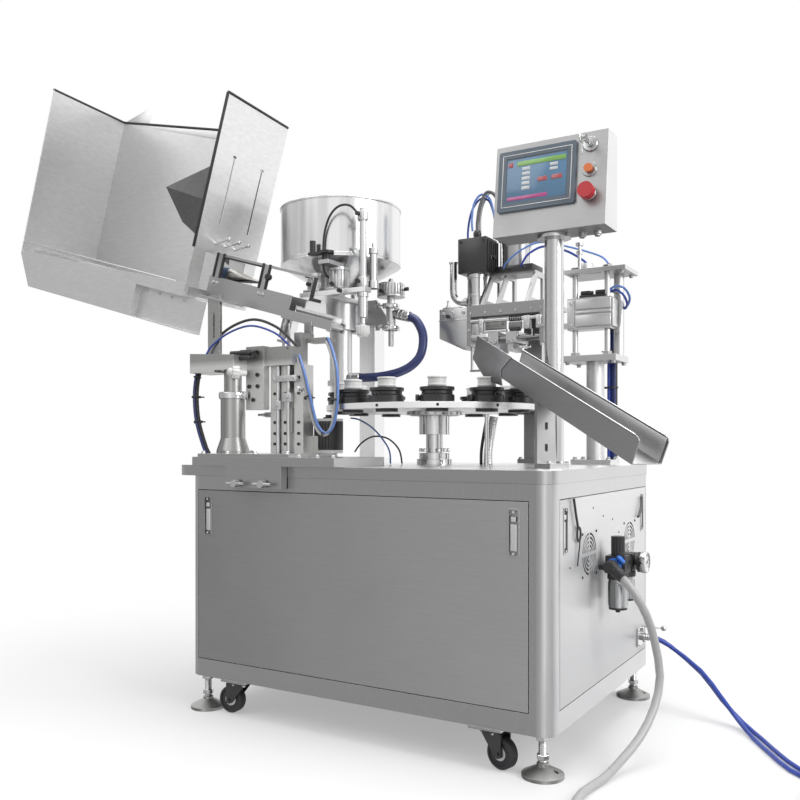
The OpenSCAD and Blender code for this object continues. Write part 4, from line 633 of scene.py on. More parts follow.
dial = {"centre": (32, 0), "stations": 12, "r": 266, "plateR": 316, "holderR": 46, "holderTop": 910,
        "insertR": 24, "insertTop": 938}
screws, knobs, lips = bmesh.new(), bmesh.new(), bmesh.new()
for k in range(dial["stations"]):
    a = math.radians(360 * k / dial["stations"])
    out = Vector((math.cos(a), math.sin(a), 0))
    side = Vector((-out.y, out.x, 0))
    hub = Vector((*dial["centre"], 0)) + out * dial["r"]
    socketBolt(screws, hub + out * (dial["holderR"] - 4) + Vector((0, 0, 891)), out, 11, 6)
    socketBolt(screws, Vector((*dial["centre"], 862)) + out * dial["plateR"], out, 8, 1)
    at = hub - side * (dial["holderR"] - 6) + Vector((0, 0, 882))
    putLathe(knobs, [(0, 0), (4, 0), (4, 6), (8, 7), (9, 9), (9, 15), (8, 17), (0, 17)],
             upright(at, -side), 14)
    for z, r in ((dial["holderTop"] + 6, 25.2), (dial["insertTop"] - 2.5, 26)):
        inside = dial["insertR"] - 0.6
        putLathe(lips, [(inside, -3), (r - 0.6, -2.6), (r, -1.2), (r, 1.2), (r - 0.6, 2.6), (inside, 3)],
                 moved(hub + Vector((0, 0, z))), 40)
addPiece("dialScrews", screws, "blackMetal", "dial", sharp=40)
addPiece("holderKnobs", knobs, "blackMetal", "dial")
addPiece("insertLips", lips, "whitePlastic", "dial")
bm = bmesh.new()
for at in ringOf(dial["centre"], 41, 6, 738, 15):
    socketBolt(bm, at, up, 11, 9)
addPiece("columnBolts", bm, "mirrorSteel")
bm = bmesh.new()
for at in ringOf(dial["centre"], 60, 6, 853, 0):
    hexBolt(bm, at, down, 11, 5)
putLathe(bm, [(20, 842), (72, 842), (73, 843.5), (73, 852), (72, 853.6), (20, 853.6)],
         moved((*dial["centre"], 0)), 56)
addPiece("dialFlange", bm, "castAlloy", "dial")
conduit = {"path": [(176, 60, 700), (176, 62, 740), (182, 66, 790), (190, 70, 838)], "r": 13}
bm = bmesh.new()
line = smoothPath(conduit["path"], 10)
r = conduit["r"]
for a, b in zip(line, line[1:]):
    putLathe(bm, [(r - 2, 0), (r, 1), (r, 2.6), (r - 2, 4), (r - 2, (b - a).length)], upright(a, b - a), 20)
addPiece("conduit", bm, "castAlloy", sharp=60)
addHose("conduitCable", [(154, 60, 700), (154, 62, 740), (160, 66, 790), (168, 70, 838)], 9, "blackPlastic")
print("dial dressed")


# control box

screen = {"panel": (-34, 146), "depth": -6.1,
          "blocks": [("screenBlue", (-82, -59), (82, 57)), ("screenGreen", (-54, 37), (79, 50)),
                     ("screenRed", (-79, 37), (-66, 50)),
                     ("screenPink", (-79, -54), (32, -44)), ("screenRed", (4, -12), (30, 0)),
                     ("screenRed", (42, -12), (70, 0))]
          + [("screenWhite", (-40, 24 - 13 * k), (-18, 33 - 13 * k)) for k in range(5)]
          + [("screenWhite", (36, 25 - 12 * k), (58, 33 - 12 * k)) for k in range(2)]}
px, pz = screen["panel"]
for k, (look, low, high) in enumerate(screen["blocks"]):
    bm = bmesh.new()
    rise = 0.5 if k else 0
    putBox(bm, (px + low[0], screen["depth"] - rise, pz + low[1]),
           (px + high[0], screen["depth"] + 1.5, pz + high[1]), 0.25, faceFrame)
    addPiece("screenBlock%d" % k, bm, look, "control_box")
bm = bmesh.new()
for low, high in (((-95, -71), (95, -69)), ((-95, 69), (95, 71)),
                  ((-95, -70), (-93, 70)), ((93, -70), (95, 70))):
    putBox(bm, (px + low[0], -7.7, pz + low[1]), (px + high[0], -6.5, pz + high[1]), 0.2, faceFrame)
addPiece("bezelLine", bm, "whitePlastic", "control_box")
keySet = {"x": 106, "z": 212}
bm = bmesh.new()
place = faceFrame @ moved((keySet["x"], 0, keySet["z"])) @ turned("X", 90)
putLathe(bm, [(10, 0), (19, 0), (19.5, 1.5), (19.5, 4), (18, 6), (10, 6.2)], place, 40)
for z in (146, 84):
    putLathe(bm, [(16.8, 0), (18.5, 0), (19, 1.5), (18, 3.3), (16.8, 3.5)],
             faceFrame @ moved((keySet["x"], 0, z)) @ turned("X", 90), 40)
addPiece("buttonCollars", bm, "mirrorSteel", "control_box")
low, _, keyFront = boxOf("key_switch")
keyFront.y = low[1]
bm = bmesh.new()
bow = [(11 * math.cos(t), 11 * math.sin(t)) for t in circle(22)]
putOutline(bm, [(y - 9, x * 0.9) for x, y in bow], 2.4,
           moved(keyFront + Vector((-1.2, -16, -9))) @ turned("Y", 90) @ turned("Z", 90), 0.4)
putBox(bm, (-1.2, -14, -3), (1.2, 3, 3), 0.4, moved(keyFront))
putBox(bm, (-1, -18, -46), (1, -13, -16), 0.4, moved(keyFront))
addPiece("spareKey", bm, "mirrorSteel", "key")
low, _, middle = boxOf("stop_button")
bm = bmesh.new()
nose = faceFrame.to_3x3() @ Vector(front)
at = Vector((middle.x, low[1] + 6, middle.z)) - nose * 1.5
putOutline(bm, flutes(18.2, 19.8, 22), 5, upright(at, nose), 0.3)
addPiece("stopGrip", bm, "redPlastic", "stop")
bm = bmesh.new()
for x in (-140, 140):
    for z in (12, 232):
        socketBolt(bm, (controlBox["x"] + x, -44, controlBox["z"] + z), back, 9, 3)
for x, z in ((78, 0), (118, 0)):
    putLathe(bm, [(0, -12), (7, -12), (7, -9), (10, -8), (10, 0.5), (0, 0.5)],
             faceFrame @ moved((x, 46, z)), 20)
putBox(bm, (291, -46.6, 1308), (583, -43.8, 1540), 0.8)
addPiece("boxBack", bm, "boxPaint", "control_box")
bm = bmesh.new()
for at in ringOf(controlBox["pole"], 35, 4, 708, 45):
    hexBolt(bm, at, up, 11, 7)
addPiece("poleBolts", bm, "mirrorSteel")
print("control box dressed")


# chute

chute = {"l": 590, "w": 88, "wall": 62, "from": -70, "bead": 2.2, "bracket": 205}
bm = bmesh.new()
for y, start in ((1.2, chute["from"]), (chute["w"] - 1.2, 20)):
    putLathe(bm, [(0, 0), (chute["bead"], 0.5), (chute["bead"], chute["l"] - start - 16.5),
                  (0, chute["l"] - start - 16)],
             chuteFrame @ moved((start, y, chute["wall"])) @ turned("Y", 90), 14)
addPiece("chuteHems", bm, "chuteSteel")
bm = bmesh.new()
putOutline(bm, [(-74, 66), (-70, 2), (14, -30), (88, -16), (64, 18), (96, 66)], 2,
           chuteFrame @ moved((0, -0.4, 0)) @ turned("X", 90), 0.5)
addPiece("chuteShield", bm, "chuteSteel")
bm = bmesh.new()
run = chute["bracket"] * math.cos(math.radians(chuteSlope))
place = moved((*chuteTop[:2], 0)) @ turned("Z", chuteYaw) @ moved((run, chute["w"] / 2, 0))
for z in (751, 805):
    hexBolt(bm, place @ Vector((-0.2, 0, z)), place.to_3x3() @ Vector(left), 14, 8)
putBox(bm, (-9, -24, 712), (0, 24, 792), 1.5, place)
for y in (-18, 18):
    socketBolt(bm, place @ Vector((42, y, 712)), up, 10, 7)
addPiece("bracketBolts", bm, "mirrorSteel")
bm = bmesh.new()
putBox(bm, (24, 84.6, 3), (584, 85.4, 59), 0.2, chuteFrame)
putBox(bm, (4, 3, 2.6), (588, 84.8, 3.2), 0.2, chuteFrame)
addPiece("chuteLiner", bm, "linerSteel")
print("chute dressed")


# tube loader

loader = {"plateFace": -290,
          "plateBolts": [(-393, 1026), (-424, 1026), (-424, 927), (-393, 927), (-409, 888), (-393, 960)],
          "uprightFace": -264, "uprightX": (-350, -312, -264),
          "uprightZ": (760, 790, 822, 905, 950), "column": (-476, -302)}
bm = bmesh.new()
for x, z in loader["plateBolts"]:
    socketBolt(bm, (x, loader["plateFace"], z), front, 12, 4)
for x in loader["uprightX"]:
    for z in loader["uprightZ"]:
        socketBolt(bm, (x, loader["uprightFace"], z), front, 9, 3)
for x, z in ((-290, 930), (-290, 968), (-290, 1010)):
    socketBolt(bm, (x, -236, z), front, 9, 3)
addPiece("loaderScrews", bm, "blackMetal")
bm = bmesh.new()
for x in (-488, -400, -300, -190):
    for y in (-412, -205):
        hexBolt(bm, (x, y, 733), up, 12, 7)
for x in (-150, -90, -40):
    socketBolt(bm, (x, -412, 724), up, 12, 8)
putLathe(bm, [(36, 0), (40.5, 0), (41.5, 2), (41.5, 15), (40.5, 17), (36, 17)],
         moved((*loader["column"], 893)), 48)
putBox(bm, (-440, -309, 889), (-424, -295, 913), 1.5)
socketBolt(bm, (-432, -309, 901), front, 9, 4)
for at in ringOf(loader["column"], 43, 6, 740):
    socketBolt(bm, at, up, 7, 5)
addPiece("loaderBolts", bm, "mirrorSteel")
bm = bmesh.new()
place = upright((-436, -322, 966), (-0.55, -0.83, 0.05))
putOutline(bm, flutes(17, 20, 10), 22, place, 1.2)
putLathe(bm, [(0, -22), (9, -22), (9, 0), (14, 0), (14, 24), (11, 30), (6, 34), (0, 35)], place, 28)
addPiece("columnLockKnob", bm, "whitePlastic")
bm = bmesh.new()
for z in (1010, 1024):
    putLathe(bm, [(0, 0), (6, 0), (6, 34), (8, 35), (8, 66), (5, 68), (5, 84), (0, 84)],
             upright((-470, -318, z), (1, 0.1, 0)), 20)
addPiece("armSensors", bm, "blackPlastic")
bm = bmesh.new()
putBox(bm, (-246, -217, 742), (-178, -165, 826), 2)
for k in range(6):
    putBox(bm, (-240 + k * 10.4, -219, 748), (-235 + k * 10.4, -216, 820), 0.8)
putLathe(bm, [(0, 0), (16, 0), (16, 5), (9, 6), (9, 12), (0, 12)], upright((-212, -191, 832), up), 24)
addPiece("feedMotor", bm, "blackMetal")
bm = bmesh.new()
putLathe(bm, [(0, -1), (11, -1), (11, 8), (8, 9), (8, 34), (6, 38), (3.5, 52), (3.5, 62), (0, 62)],
         upright((-366, -244, 846), left), 20)
for x, z in ((-334, 858), (-296, 880)):
    putLathe(bm, [(5, 0), (5.4, 0.4), (5.4, 250), (5, 250.4)], moved((x, -270, 733.5)), 16)
    putBox(bm, (x - 14, -277, z), (x + 14, -263.5, z + 26), 2)
    socketBolt(bm, (x, -277, z + 13), front, 9, 4)
putBox(bm, (-350, -279, 938), (-262, -263.5, 956), 2)
for x in (-342, -306, -270):
    socketBolt(bm, (x, -279, 947), front, 8, 3)
putLathe(bm, [(0, 0), (9, 0), (9, 30), (6, 32), (6, 44), (0, 44)],
         upright((-258, -256, 920), (0.3, -1, -0.2)), 18)
addPiece("tubePusher", bm, "platedAlloy")

guard = {"posts": ((16, 40), (190, 214)), "y": 103, "z": (-66, 6), "bar": 382}
bm = bmesh.new()
for x0, x1 in guard["posts"]:
    for x in (x0, x1):
        putBox(bm, (x - 3, guard["y"] - 4, guard["z"][0] - 2),
               (x + 3, guard["y"] + 6, guard["z"][1] + 2), 1.5)
putBox(bm, (guard["posts"][0][1], guard["y"] - 3, guard["z"][1] - 12),
       (guard["posts"][1][0], guard["y"] + 6, guard["z"][1] - 7), 1.2)
putBox(bm, (guard["bar"] - 8, guard["y"] - 3, -60), (guard["bar"] + 2, guard["y"] + 6, 2), 1.5)
putBox(bm, (guard["bar"] - 8, guard["y"] - 3, -68), (guard["bar"] + 30, guard["y"] + 6, -58), 1.5)
putLathe(bm, [(0, 0), (9, 0), (10, 2), (10, 12), (8, 14), (0, 14)],
         upright((222, guard["y"] - 2, -30), front), 18)
addPiece("guardEdging", bm, "rubberTrim", place=binFrame)
bm = bmesh.new()
for x in (21, 35, 195, 209):
    hexBolt(bm, (x, guard["y"], -84), front, 9, 5)
for x in (-160, -110, -60, -10):
    socketBolt(bm, (x, 27, -160), front, 8, 3)
for y in (95, 147, 196):
    putLathe(bm, [(0, 0), (3, 0), (3, 46), (6, 48), (6.5, 52), (5, 57), (0, 58)],
             upright((3, y, 30), (0.9, 0, 0.45)), 16)
addPiece("railBolts", bm, "mirrorSteel", place=binFrame)
bm = bmesh.new()
binEdges = [((-696, 0, 390), (-696, 325, 390)), ((-696, 323, 390), (-4, 323, 437)),
            ((1.5, 0, 2), (1.5, 0, 461)), ((1.5, 0, 461), (1.5, 325, 461))]
for a, b in binEdges:
    along = Vector(b) - Vector(a)
    l = along.length
    putLathe(bm, [(0, 0), (4, 0.8), (4.6, 2), (4.6, l - 2), (4, l - 0.8), (0, l)], upright(a, along), 12)
addPiece("binEdging", bm, "rubberTrim", place=binFrame)
bm = bmesh.new()
putOutline(bm, [(-694, 386), (-4, 386), (-4, 437)], 3, moved((0, 325, 0)) @ turned("X", 90), 0.4)
putOutline(bm, [(-692, 360), (-692, 392), (-580, 464), (-580, 360)], 3,
           moved((0, 328, 0)) @ turned("X", 90), 0.4)
putOutline(bm, [(-640, 300), (-560, 300), (-560, 388), (-640, 388)], 3,
           moved((0, 328, 0)) @ turned("X", 90), 0.4)
addPiece("binRise", bm, "binSteel", place=binFrame)
corners = [(-364, 236, 187), (-4, 200, 372), (-4, 150, 150), (-4, 190, -20), (-254, 225, 84)]


def sheetPiece(name, picks, look):  # folded sheet through some of the corners
    bm = bmesh.new()
    a, b, c = [Vector(corners[k]) for k in picks[:3]]
    lift = (b - a).cross(c - a).normalized() * 2
    near = [bm.verts.new(Vector(corners[k])) for k in picks]
    far = [bm.verts.new(Vector(corners[k]) + lift) for k in picks]
    for i in range(1, len(picks) - 1):  # fan of triangles, as the sheet is slightly twisted
        bm.faces.new((near[0], near[i + 1], near[i]))
        bm.faces.new((far[0], far[i], far[i + 1]))
    for i in range(len(picks)):
        k = (i + 1) % len(picks)
        bm.faces.new((near[i], near[k], far[k], far[i]))
    bmesh.ops.recalc_face_normals(bm, faces=bm.faces[:])
    addPiece(name, bm, look, place=binFrame)


# painted shade: the deflector's upper and lower faces carry two painted dark tones
sheetPiece("deflectorTop", (0, 1, 2), "deflectorPaintedUpperShade")
sheetPiece("deflectorFoot", (0, 2, 3, 4), "deflectorPaintedLowerShade")
bm = bmesh.new()
putBox(bm, (-650, 10, -147), (-14, 13, -128), 0.6)
putBox(bm, (-650, 26, -147), (-14, 29, -122), 0.6)
putBox(bm, (-650, 10, -130), (-14, 18, -128), 0.4)
for x in (-620, -560, -420, -250):
    socketBolt(bm, (x, 20, -147), up, 8, 3)
putBox(bm, (-694, 2, -112), (-40, 5, -108), 1.2)
addPiece("binChannel", bm, "binSteel", place=binFrame)
bm = bmesh.new()
putBox(bm, (8, 108.5, -78), (206, 185.5, -75), 0.8)
for x in (10, 198):
    putBox(bm, (x, 109, -111.5), (x + 6, 185, -77), 0.8)
addPiece("tubeRest", bm, "sheetSteel", place=binFrame)
sample = {"x": 26, "y": 140, "z": -50, "r": 22, "cap": 28, "l": 118}
bm = bmesh.new()
steps, rings = 36, []
for k in range(13):
    t = k / 12
    flat = sample["r"] * (1 - t * 0.93)
    wide = sample["r"] * (1 + t * 0.5)
    x = sample["x"] + sample["cap"] + t * sample["l"]
    rings.append([bm.verts.new((x, sample["y"] + wide * math.cos(a), sample["z"] + flat * math.sin(a)))
                  for a in circle(steps)])
for a, b in zip(rings, rings[1:]):
    for j in range(steps):
        bm.faces.new((a[j], a[(j + 1) % steps], b[(j + 1) % steps], b[j]))
bm.faces.new(rings[-1])
bmesh.ops.recalc_face_normals(bm, faces=bm.faces[:])
putLathe(bm, [(sample["r"], 0), (sample["r"] * 0.98, -2), (12, -6), (0, -6)],
         upright((sample["x"] + sample["cap"], sample["y"], sample["z"]), right), steps)
addPiece("sampleTube", bm, "tubeFoil", place=binFrame)
bm = bmesh.new()
putOutline(bm, flutes(18.5, 20, 30), 22, upright((sample["x"], sample["y"], sample["z"]), right), 0.5)
addPiece("sampleCap", bm, "capBlue", place=binFrame)
print("loader dressed")


# filler

filler = {"nozzle": (-198.4, 133), "tank": (-358, 82), "dosing": (-166, -81), "barrelZ": 1228,
          "actuators": [(-345, -66, 60), (-262, -66, 71)], "deckTop": 1224, "slim": (-166, -80)}
bm = bmesh.new()
for x, y, h in filler["actuators"]:
    place = moved((x, y, filler["deckTop"] + 9))
    putOutline(bm, flutes(27.3, 30.5, 18), h - 20, place, 0.4)
    putBox(bm, (x - 31, y - 31, filler["deckTop"]), (x + 31, y + 31, filler["deckTop"] + 9), 2)
    putLathe(bm, [(12, 0), (31, 0), (32, 1), (32, 8), (31, 9), (12, 9)],
             moved((x, y, filler["deckTop"] + h - 11)), 40)
nx, ny = filler["nozzle"]
putOutline(bm, flutes(40.3, 44.5, 26), 34, moved((nx, ny, filler["barrelZ"] + 6)), 0.5)
for z in (1424, 1228):
    putLathe(bm, [(10, 0), (15.5, 0), (16.5, 1), (16.5, 25), (15.5, 26), (10, 26)],
             moved((*filler["slim"], z)), 32)
addPiece("airBarrels", bm, "platedAlloy")
bm = bmesh.new()
for z, r in ((1129, 25), (1199, 23)):
    putLathe(bm, [(r - 4, -6.5), (r + 3, -6.5), (r + 4.5, -4), (r + 4.5, 4), (r + 3, 6.5), (r - 4, 6.5)],
             moved((nx, ny, z)), 44)
    putBox(bm, (nx - 8, ny - r - 18, z - 6), (nx + 8, ny - r - 1, z + 6), 1.5)
    putLathe(bm, [(0, 0), (3, 0), (3, 22), (7, 23), (7, 30), (3, 32), (0, 32)],
             upright((nx - 20, ny - r - 11, z), right), 14)
    putBox(bm, (nx - 36, ny - r - 14, z - 9), (nx - 20, ny - r - 8, z + 9), 2)
putLathe(bm, [(13, 0), (17.5, 0), (17.5, 8), (15.5, 10), (17.5, 12), (17.5, 22), (15.5, 24), (17.5, 26),
              (17.5, 44), (14.5, 46)], upright((nx + 26, ny, 1173), (1, 0, -0.27)), 32)
putLathe(bm, [(13, 0), (17, 0), (17, 12), (15.4, 14), (17, 16), (17, 40), (14.5, 42)],
         upright((-322, 82, 972), right), 32)
addPiece("nozzleClamps", bm, "mirrorSteel")


def pushFitting(metal, moulded, at, axis):  # hex base with a moulded release ring
    putLathe(metal, [(0, -2), (6.5, -2), (6.5, 5), (5.5, 6), (0, 6)], upright(at, axis), 6)
    putLathe(moulded, [(0, 6), (6, 6), (6, 14), (5, 15), (6.4, 16), (6.4, 18), (3, 18.5), (0, 18)],
             upright(at, axis), 18)


metal, moulded = bmesh.new(), bmesh.new()
fittingPlaces = [((-166, -96, 1438), front), ((-166, -96, 1240), front), ((-345, -97, 1246), front),
                 ((-262, -97, 1240), (0.3, -1, 0)),
                 ((-345, -97, 1272), (-0.4, -1, 0)), ((nx + 45, ny, 1250), right),
                 ((nx, ny - 45, 1240), front), ((-230, -98, 1217), front),
                 ((150, 249, 1303), front), ((208, 249, 1303), front), ((104, 240, 1340), (1, -0.3, 0)),
                 ((-20, 198, 1160), front),
                 ((-290, -264, 1030), (0, -1, 0.4)), ((-300, -226, 990), back),
                 ((470, 262, 1270), up), ((410, 262, 1270), up)]
for at, axis in fittingPlaces:
    pushFitting(metal, moulded, at, axis)
addPiece("fittingBases", metal, "mirrorSteel")
addPiece("fittingRings", moulded, "blackPlastic")
bm = bmesh.new()
putLathe(bm, [(0, 1209.5), (17, 1209.5), (17, 1196), (14, 1195), (14, 1136), (12, 1133), (8, 1132), (8, 1116),
              (0, 1116)], moved((*filler["dosing"], 0)), 28)
putLathe(bm, [(0, 1223.8), (16, 1223.8), (16, 1246), (12, 1248), (12, 1326), (15, 1328), (15, 1344),
              (12, 1346), (5, 1347), (5, 1360), (0, 1360)], moved((-150, -48, 0)), 32)
addPiece("dosingRod", bm, "mirrorSteel")
bm = bmesh.new()
putOutline(bm, flutes(19, 20.5, 14), 26, moved((*filler["dosing"], 1084)), 1)
putLathe(bm, [(0, 0), (14, 0), (17, 3), (17, 30), (13, 33), (8, 34), (8, 40), (0, 40)],
         moved((*filler["dosing"], 1078)), 28)
addPiece("dosingKnob", bm, "whitePlastic")
bm = bmesh.new()
for x, y in ((-500, 0), (-500, 240)):
    for z in (712, 1197):
        putLathe(bm, [(10, 0), (17, 0), (17, 12), (15.5, 13), (10, 13)], moved((x, y, z)), 6)
for at in ringOf(filler["tank"], 50, 8, 1236, 22):
    hexBolt(bm, at, up, 9, 6)
for x, y in ((-508, -18), (-508, 258), (-312, 258), (-312, 60)):
    socketBolt(bm, (x, y, 1224), up, 10, 6)
for z in (1190, 1150):
    for y in (112, 154):
        socketBolt(bm, (-292, y, z), right, 10, 5)
addPiece("fillerBolts", bm, "mirrorSteel")
bm = bmesh.new()
for z, bulge in ((1332, 1.4), (1340, 0.6)):
    putLathe(bm, [(192, -2.2), (192.5 + bulge, -1), (192.5 + bulge, 1), (192, 2.2)],
             moved((*filler["tank"], z)), 128)
addPiece("tankSeams", bm, "tankSteel")
addHose("clearElbow", [(-262, -44, 1292), (-262, -44, 1312), (-254, -46, 1336), (-230, -52, 1350),
                       (-202, -58, 1340), (-184, -64, 1312), (-178, -68, 1280), (-177, -70, 1256)],
        17, "clearHose")
print("filler dressed")


# sealer

sealer = {"can": (54, 242), "top": 1187, "box": ((6, 200, 1293), (104, 284, 1403))}
cx, cy = sealer["can"]
bm = bmesh.new()
low, high = sealer["box"]
putBox(bm, low, high, 3)
for k in range(6):
    y = low[1] + 9 + k * 13.5
    putBox(bm, (high[0] - 1, y, low[2] + 8), (high[0] + 5, y + 6, high[2] - 8), 1)
putBox(bm, (low[0] - 1.5, low[1] + 8, low[2] + 30), (low[0] + 1, high[1] - 8, low[2] + 34), 0.5)
putLathe(bm, [(0, -1), (14, -1), (14, 7), (12, 8), (12, 12), (13, 14), (13, 22), (9, 30), (6, 32), (0, 32)],
         moved((cx, cy, high[2])), 24)
for x in (low[0] + 10, high[0] - 10):
    for z in (low[2] + 10, high[2] - 10):
        socketBolt(bm, (x, low[1], z), front, 8, 2.5)
heaterBox = addPiece("heaterBox", bm, "blackMetal")
bm = bmesh.new()
putLathe(bm, [(0, 0), (34, 0), (34, 8), (31, 9), (31, 34), (32, 35), (32, 40), (31, 41), (31, 92), (33, 93),
              (33, 106), (0, 106)], moved((cx, cy, sealer["top"])), 48)
putLathe(bm, [(8, 0), (15, 0), (15, 9), (12.6, 10), (8, 10)], upright((cx - 31 - 9, cy, 1211), right), 24)
putLathe(bm, [(9, 0), (14.6, 0), (15, 1), (15, 5), (9, 6)], upright((cx - 84, cy, 1336), up), 24)
heaterCan = addPiece("heaterCan", bm, "mirrorSteel")
bend = [(cx - 84, cy, 1338), (cx - 84, cy, 1290), (cx - 84, cy, 1248), (cx - 80, cy, 1230),
        (cx - 68, cy, 1217), (cx - 50, cy, 1211), (cx - 30, cy, 1211)]
airElbow = addHose("airElbow", bend, 24, "mirrorSteel")
bm = bmesh.new()
putOutline(bm, [(-60, 1187.4), (-60, 1094), (28, 1054), (48, 1054), (48, 1187.4)], 84,
           moved((0, 284, 0)) @ turned("X", 90), 2.5)
putBox(bm, (-61, 199.2, 1148), (47, 284.8, 1152), 0.6)
for x in (-46, -12, 26):
    socketBolt(bm, (x, 200, 1172), front, 10, 4)
putBox(bm, (-52, 208, 1187), (8, 276, 1193), 1)
putLathe(bm, [(0, 0), (7, 0), (7, 6), (3, 8), (3, 20), (5, 22), (0, 24)], moved((-40, 222, 1193)), 16)
nozzleBlock = addPiece("nozzleBlock", bm, "platedAlloy")
for piece in (heaterBox, heaterCan, airElbow, nozzleBlock):
    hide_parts("sealer_head")
bm = bmesh.new()
putBox(bm, (113, 249, 1292.6), (236, 337, 1313.6), 1.5)
putBox(bm, (122, 250, 1389), (206, 334, 1403), 2)
for x in (130, 198):
    for y in (258, 326):
        putLathe(bm, [(0, 0), (8, 0), (8, 7), (7, 8), (0, 8)], moved((x, y, 1403)), 6)
addPiece("cylinderEnds", bm, "blackMetal")
bm = bmesh.new()
for x in (130, 198):
    for y in (258, 326):
        putLathe(bm, [(4.5, 0), (4.6, 0.1), (4.6, 75.8), (4.5, 76)], moved((x, y, 1313)), 16)
for x in (60, 110, 160, 210, 260, 290):
    socketBolt(bm, (x, 180, 1162), front, 8, 3)
for x in (55, 294):
    for z in (1056, 1110):
        socketBolt(bm, (x, 180, z), front, 9, 4)
for x, y in ((168, 318), (252, 318), (168, 378), (252, 378)):
    hexBolt(bm, (x, y, 712), up, 12, 7)
addPiece("sealerBolts", bm, "mirrorSteel")
for side, word in ((-1, "inner"), (1, "outer")):
    bm = bmesh.new()
    low, high, _ = boxOf("jaw_" + word)
    outer = low[0] if side < 0 else high[0]
    for y in (216, 246):
        putLathe(bm, [(0, -1), (8, -1), (8, 6), (7, 7), (4, 7), (4, 20), (0, 20)],
                 upright((outer, y, 1058), (side, 0, 0)), 6)
    for x in (low[0] + 8, high[0] - 8):
        socketBolt(bm, (x, low[1], 1072), front, 8, 4)
    addPiece(word + "JawTrim", bm, "mirrorSteel", word + "_jaw")
bm = bmesh.new()
putLathe(bm, [(5.4, 0), (6, 0.6), (6, 235.4), (5.4, 236)], upright((60, 184, 1138), right), 24)
putLathe(bm, [(4.4, 0), (5, 0.6), (5, 79.4), (4.4, 80)], upright((100, 186, 1104), right), 18)
for x in (120, 214, 262):
    putLathe(bm, [(0, 0), (6, 0), (6, 5), (3.4, 6), (3.4, 22), (0, 22)], moved((x, 187, 1082)), 6)
addPiece("jawRail", bm, "mirrorSteel")
bm = bmesh.new()
for x0, x1 in ((88, 104), (236, 256), (276, 292)):
    putBox(bm, (x0, 177, 1104), (x1, 195, 1144), 2)
    socketBolt(bm, ((x0 + x1) / 2, 177, 1116), front, 8, 3)
putBox(bm, (64, 186, 1098), (88, 195, 1138), 2)
addPiece("railBlocks", bm, "platedAlloy")
bm = bmesh.new()
putBox(bm, (108, 184, 1107), (178, 191, 1132), 1.5)
putBox(bm, (112, 182, 1110), (174, 184.5, 1115), 0.8)
for x in (118, 168):
    socketBolt(bm, (x, 184, 1125), front, 7, 3)
putBox(bm, (186, 183, 1106), (228, 195, 1128), 2)
addPiece("linkPlate", bm, "darkAlloy")
bm = bmesh.new()
putBox(bm, (61, 179.4, 1146), (288, 196, 1152), 1)
putBox(bm, (190, 180.4, 1100), (224, 194, 1112), 1.5)
for k in range(7):
    putLathe(bm, [(7.6, 0), (9.4, 0.8), (9.4, 2.2), (7.6, 3)], upright((190 + k * 6, 184, 1138), right), 20)
addPiece("railGaiter", bm, "blackMetal")
print("sealer dressed")


# trimmer

bm = bmesh.new()
for z0, z1 in ((1100, 1134), (1138, 1146), (1150, 1180)):
    putBox(bm, (392, 195, z0), (496, 201, z1), 1.5)
putBox(bm, (494, 203, 1098), (502, 246, 1178), 2)
putBox(bm, (366, 197, 1096), (388, 202, 1180), 1.5)
for z in (1106, 1170):
    socketBolt(bm, (377, 197, z), front, 9, 3)
addPiece("trimBody", bm, "whiteSteel", "trimmer")
bm = bmesh.new()
putBox(bm, (398, 210, 1184), (476, 240, 1194), 2)
for x in (400, 444):
    putLathe(bm, [(0, 0), (6, 0), (7.5, 2), (7.5, 26), (6, 28), (6, 36), (0, 36)],
             upright((x, 222, 1200), (1, 0.1, 0)), 20)
addPiece("trimValves", bm, "blackPlastic", "trimmer")
bm = bmesh.new()
for x in (382, 478):
    for z in (1018, 1268):
        putLathe(bm, [(0, 0), (14, 0), (14, 9), (12.5, 10), (0, 10)], moved((x, 224, z)), 6)
for x, y in ((374, 216), (522, 216), (522, 312)):
    hexBolt(bm, (x, y, 1256), down, 12, 7)
for x, y in ((362, 212), (500, 212), (362, 312), (500, 312)):
    hexBolt(bm, (x, y, 1000), down, 13, 8)
for x, y in ((380, 226), (480, 226), (380, 298), (480, 298)):
    hexBolt(bm, (x, y, 714), up, 13, 8)
putLathe(bm, [(0, 0), (5, 0), (5, 46), (9, 47), (9, 56), (5, 57), (5, 70), (11, 71), (11, 80), (0, 81)],
         moved((398, 214, 1268)), 18)
addPiece("trimBolts", bm, "mirrorSteel")
bm = bmesh.new()
putBox(bm, (362, 208, 1253), (402, 240, 1269), 3)
putBox(bm, (398, 214, 1255), (462, 234, 1267), 2)
putLathe(bm, [(0, 0), (12, 0), (13, 2), (13, 16), (11, 18), (0, 18)], moved((378, 262, 1268)), 6)
putBox(bm, (362, 246, 1268), (420, 300, 1274), 1.5)
putLathe(bm, [(16, 0), (22, 0), (23, 2), (23, 20), (22, 22), (16, 22)], moved((398, 274, 1274)), 28)
addPiece("trimClamp", bm, "whiteSteel")
print("trimmer dressed")


# air service unit

